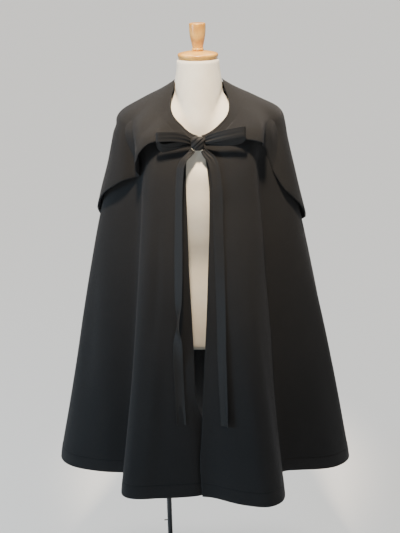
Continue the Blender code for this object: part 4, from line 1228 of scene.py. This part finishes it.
def add_lights():
    world = bpy.data.worlds.new("studio")
    world.use_nodes = True
    sky = world.node_tree.nodes["Background"]
    sky.inputs[0].default_value = (0.80, 0.90, 1.0, 1.0)
    sky.inputs[1].default_value = SKY_STRENGTH
    bpy.context.scene.world = world
    window = add_light("window", "AREA", (-2.9, -1.2, 1.5), (0, 0, 0.9), 50, (0.50, 0.75, 1.0))
    window.shape = "DISK"
    window.size = WINDOW_SIZE
    spot = add_light("spot", "SPOT", (-0.08, -0.98, 3.45), (0, -0.02, 1.31), 760, (1.0, 0.82, 0.62))
    spot.spot_size = math.radians(SPOT_CONE)
    spot.spot_blend = SPOT_BLEND
    spot.shadow_soft_size = SPOT_SIZE
    daylight = add_light("daylight", "SUN", (0.1, 0.9, 2.0), (0, 0, 0), 3.8, (1.0, 0.97, 0.92))
    daylight.angle = SUN_ANGLE


def add_floor():
    r = FLOOR_REACH
    mesh = bpy.data.meshes.new("floor")
    mesh.from_pydata([(-r, -r, 0), (r, -r, 0), (r, r, 0), (-r, r, 0)], [], [(0, 1, 2, 3)])
    made, tree, shader = new_material("floor")
    feed(tree, shader, {"Base Color": (0.82, 0.82, 0.81, 1.0), "Roughness": 0.9})
    mesh.materials.append(made)
    floor = bpy.data.objects.new("floor", mesh)
    floor.location.z = -FLOOR_DROP
    bpy.context.scene.collection.objects.link(floor)


def main():
    add_camera()
    add_lights()
    add_floor()
    twill = cloth_material("black-twill", TWILL_DARK, TWILL_LIGHT, 0.82, (0.9, 0.9, 1.0), 0.9)
    tie = cloth_material("black-ribbon", RIBBON_DARK, RIBBON_LIGHT, 0.58, (1.0, 0.95, 0.9), 0.35)
    cover, wood, metal = form_material(), wood_material(), metal_material()

    for piece, node_name, cut, held, below in (
        (build_front(-1, twill), "front_right", FRONT_RIGHT_CUT, "hung", "form-trunk"),
        (build_front(1, twill), "front_left", FRONT_LEFT_CUT, "hung", "form-trunk"),
        (build_back(twill), "back", BACK_CUT, "hung", "form-trunk"),
        (build_hood(-1, twill), "hood_right", HOOD_CUT, "draped", "cloak-back"),
        (build_hood(1, twill), "hood_left", HOOD_CUT, "draped", "cloak-back"),
        (build_tail("tail-right", RIGHT_TAIL, tie), "tail_right", TAIL_CUT, "hung", "bow-knot"),
        (build_tail("tail-left", LEFT_TAIL, tie), "tail_left", TAIL_CUT, "hung", "bow-knot"),
        (build_loop("loop-right", RIGHT_LOOP, tie), "loop_right", LOOP_CUT, "folded", "bow-knot"),
        (build_loop("loop-left", LEFT_LOOP, tie), "loop_left", LOOP_CUT, "folded", "bow-knot"),
    ):
        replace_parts(piece, node_name)
    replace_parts(build_knot(tie), "tie_knot")

    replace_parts(build_torso(cover), "form_torso")
    neck = Vector((0, 0, NECK_TOP + SEAM_GAP))
    seat = neck + Vector((0, 0, CAP_PROFILE[-1].height + SEAM_GAP))
    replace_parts(turned_piece("neck-cap", CAP_PROFILE, neck, wood), "neck_cap")
    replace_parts(turned_piece("cap-knob", KNOB_PROFILE, seat, wood), "cap_knob")
    for name in ("stand_pole", "stand_pin", "stand_socket", "stand_boss", "stand_base"):
        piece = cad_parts[name]
        piece.data.materials.clear()
        piece.data.materials.append(metal)


main()
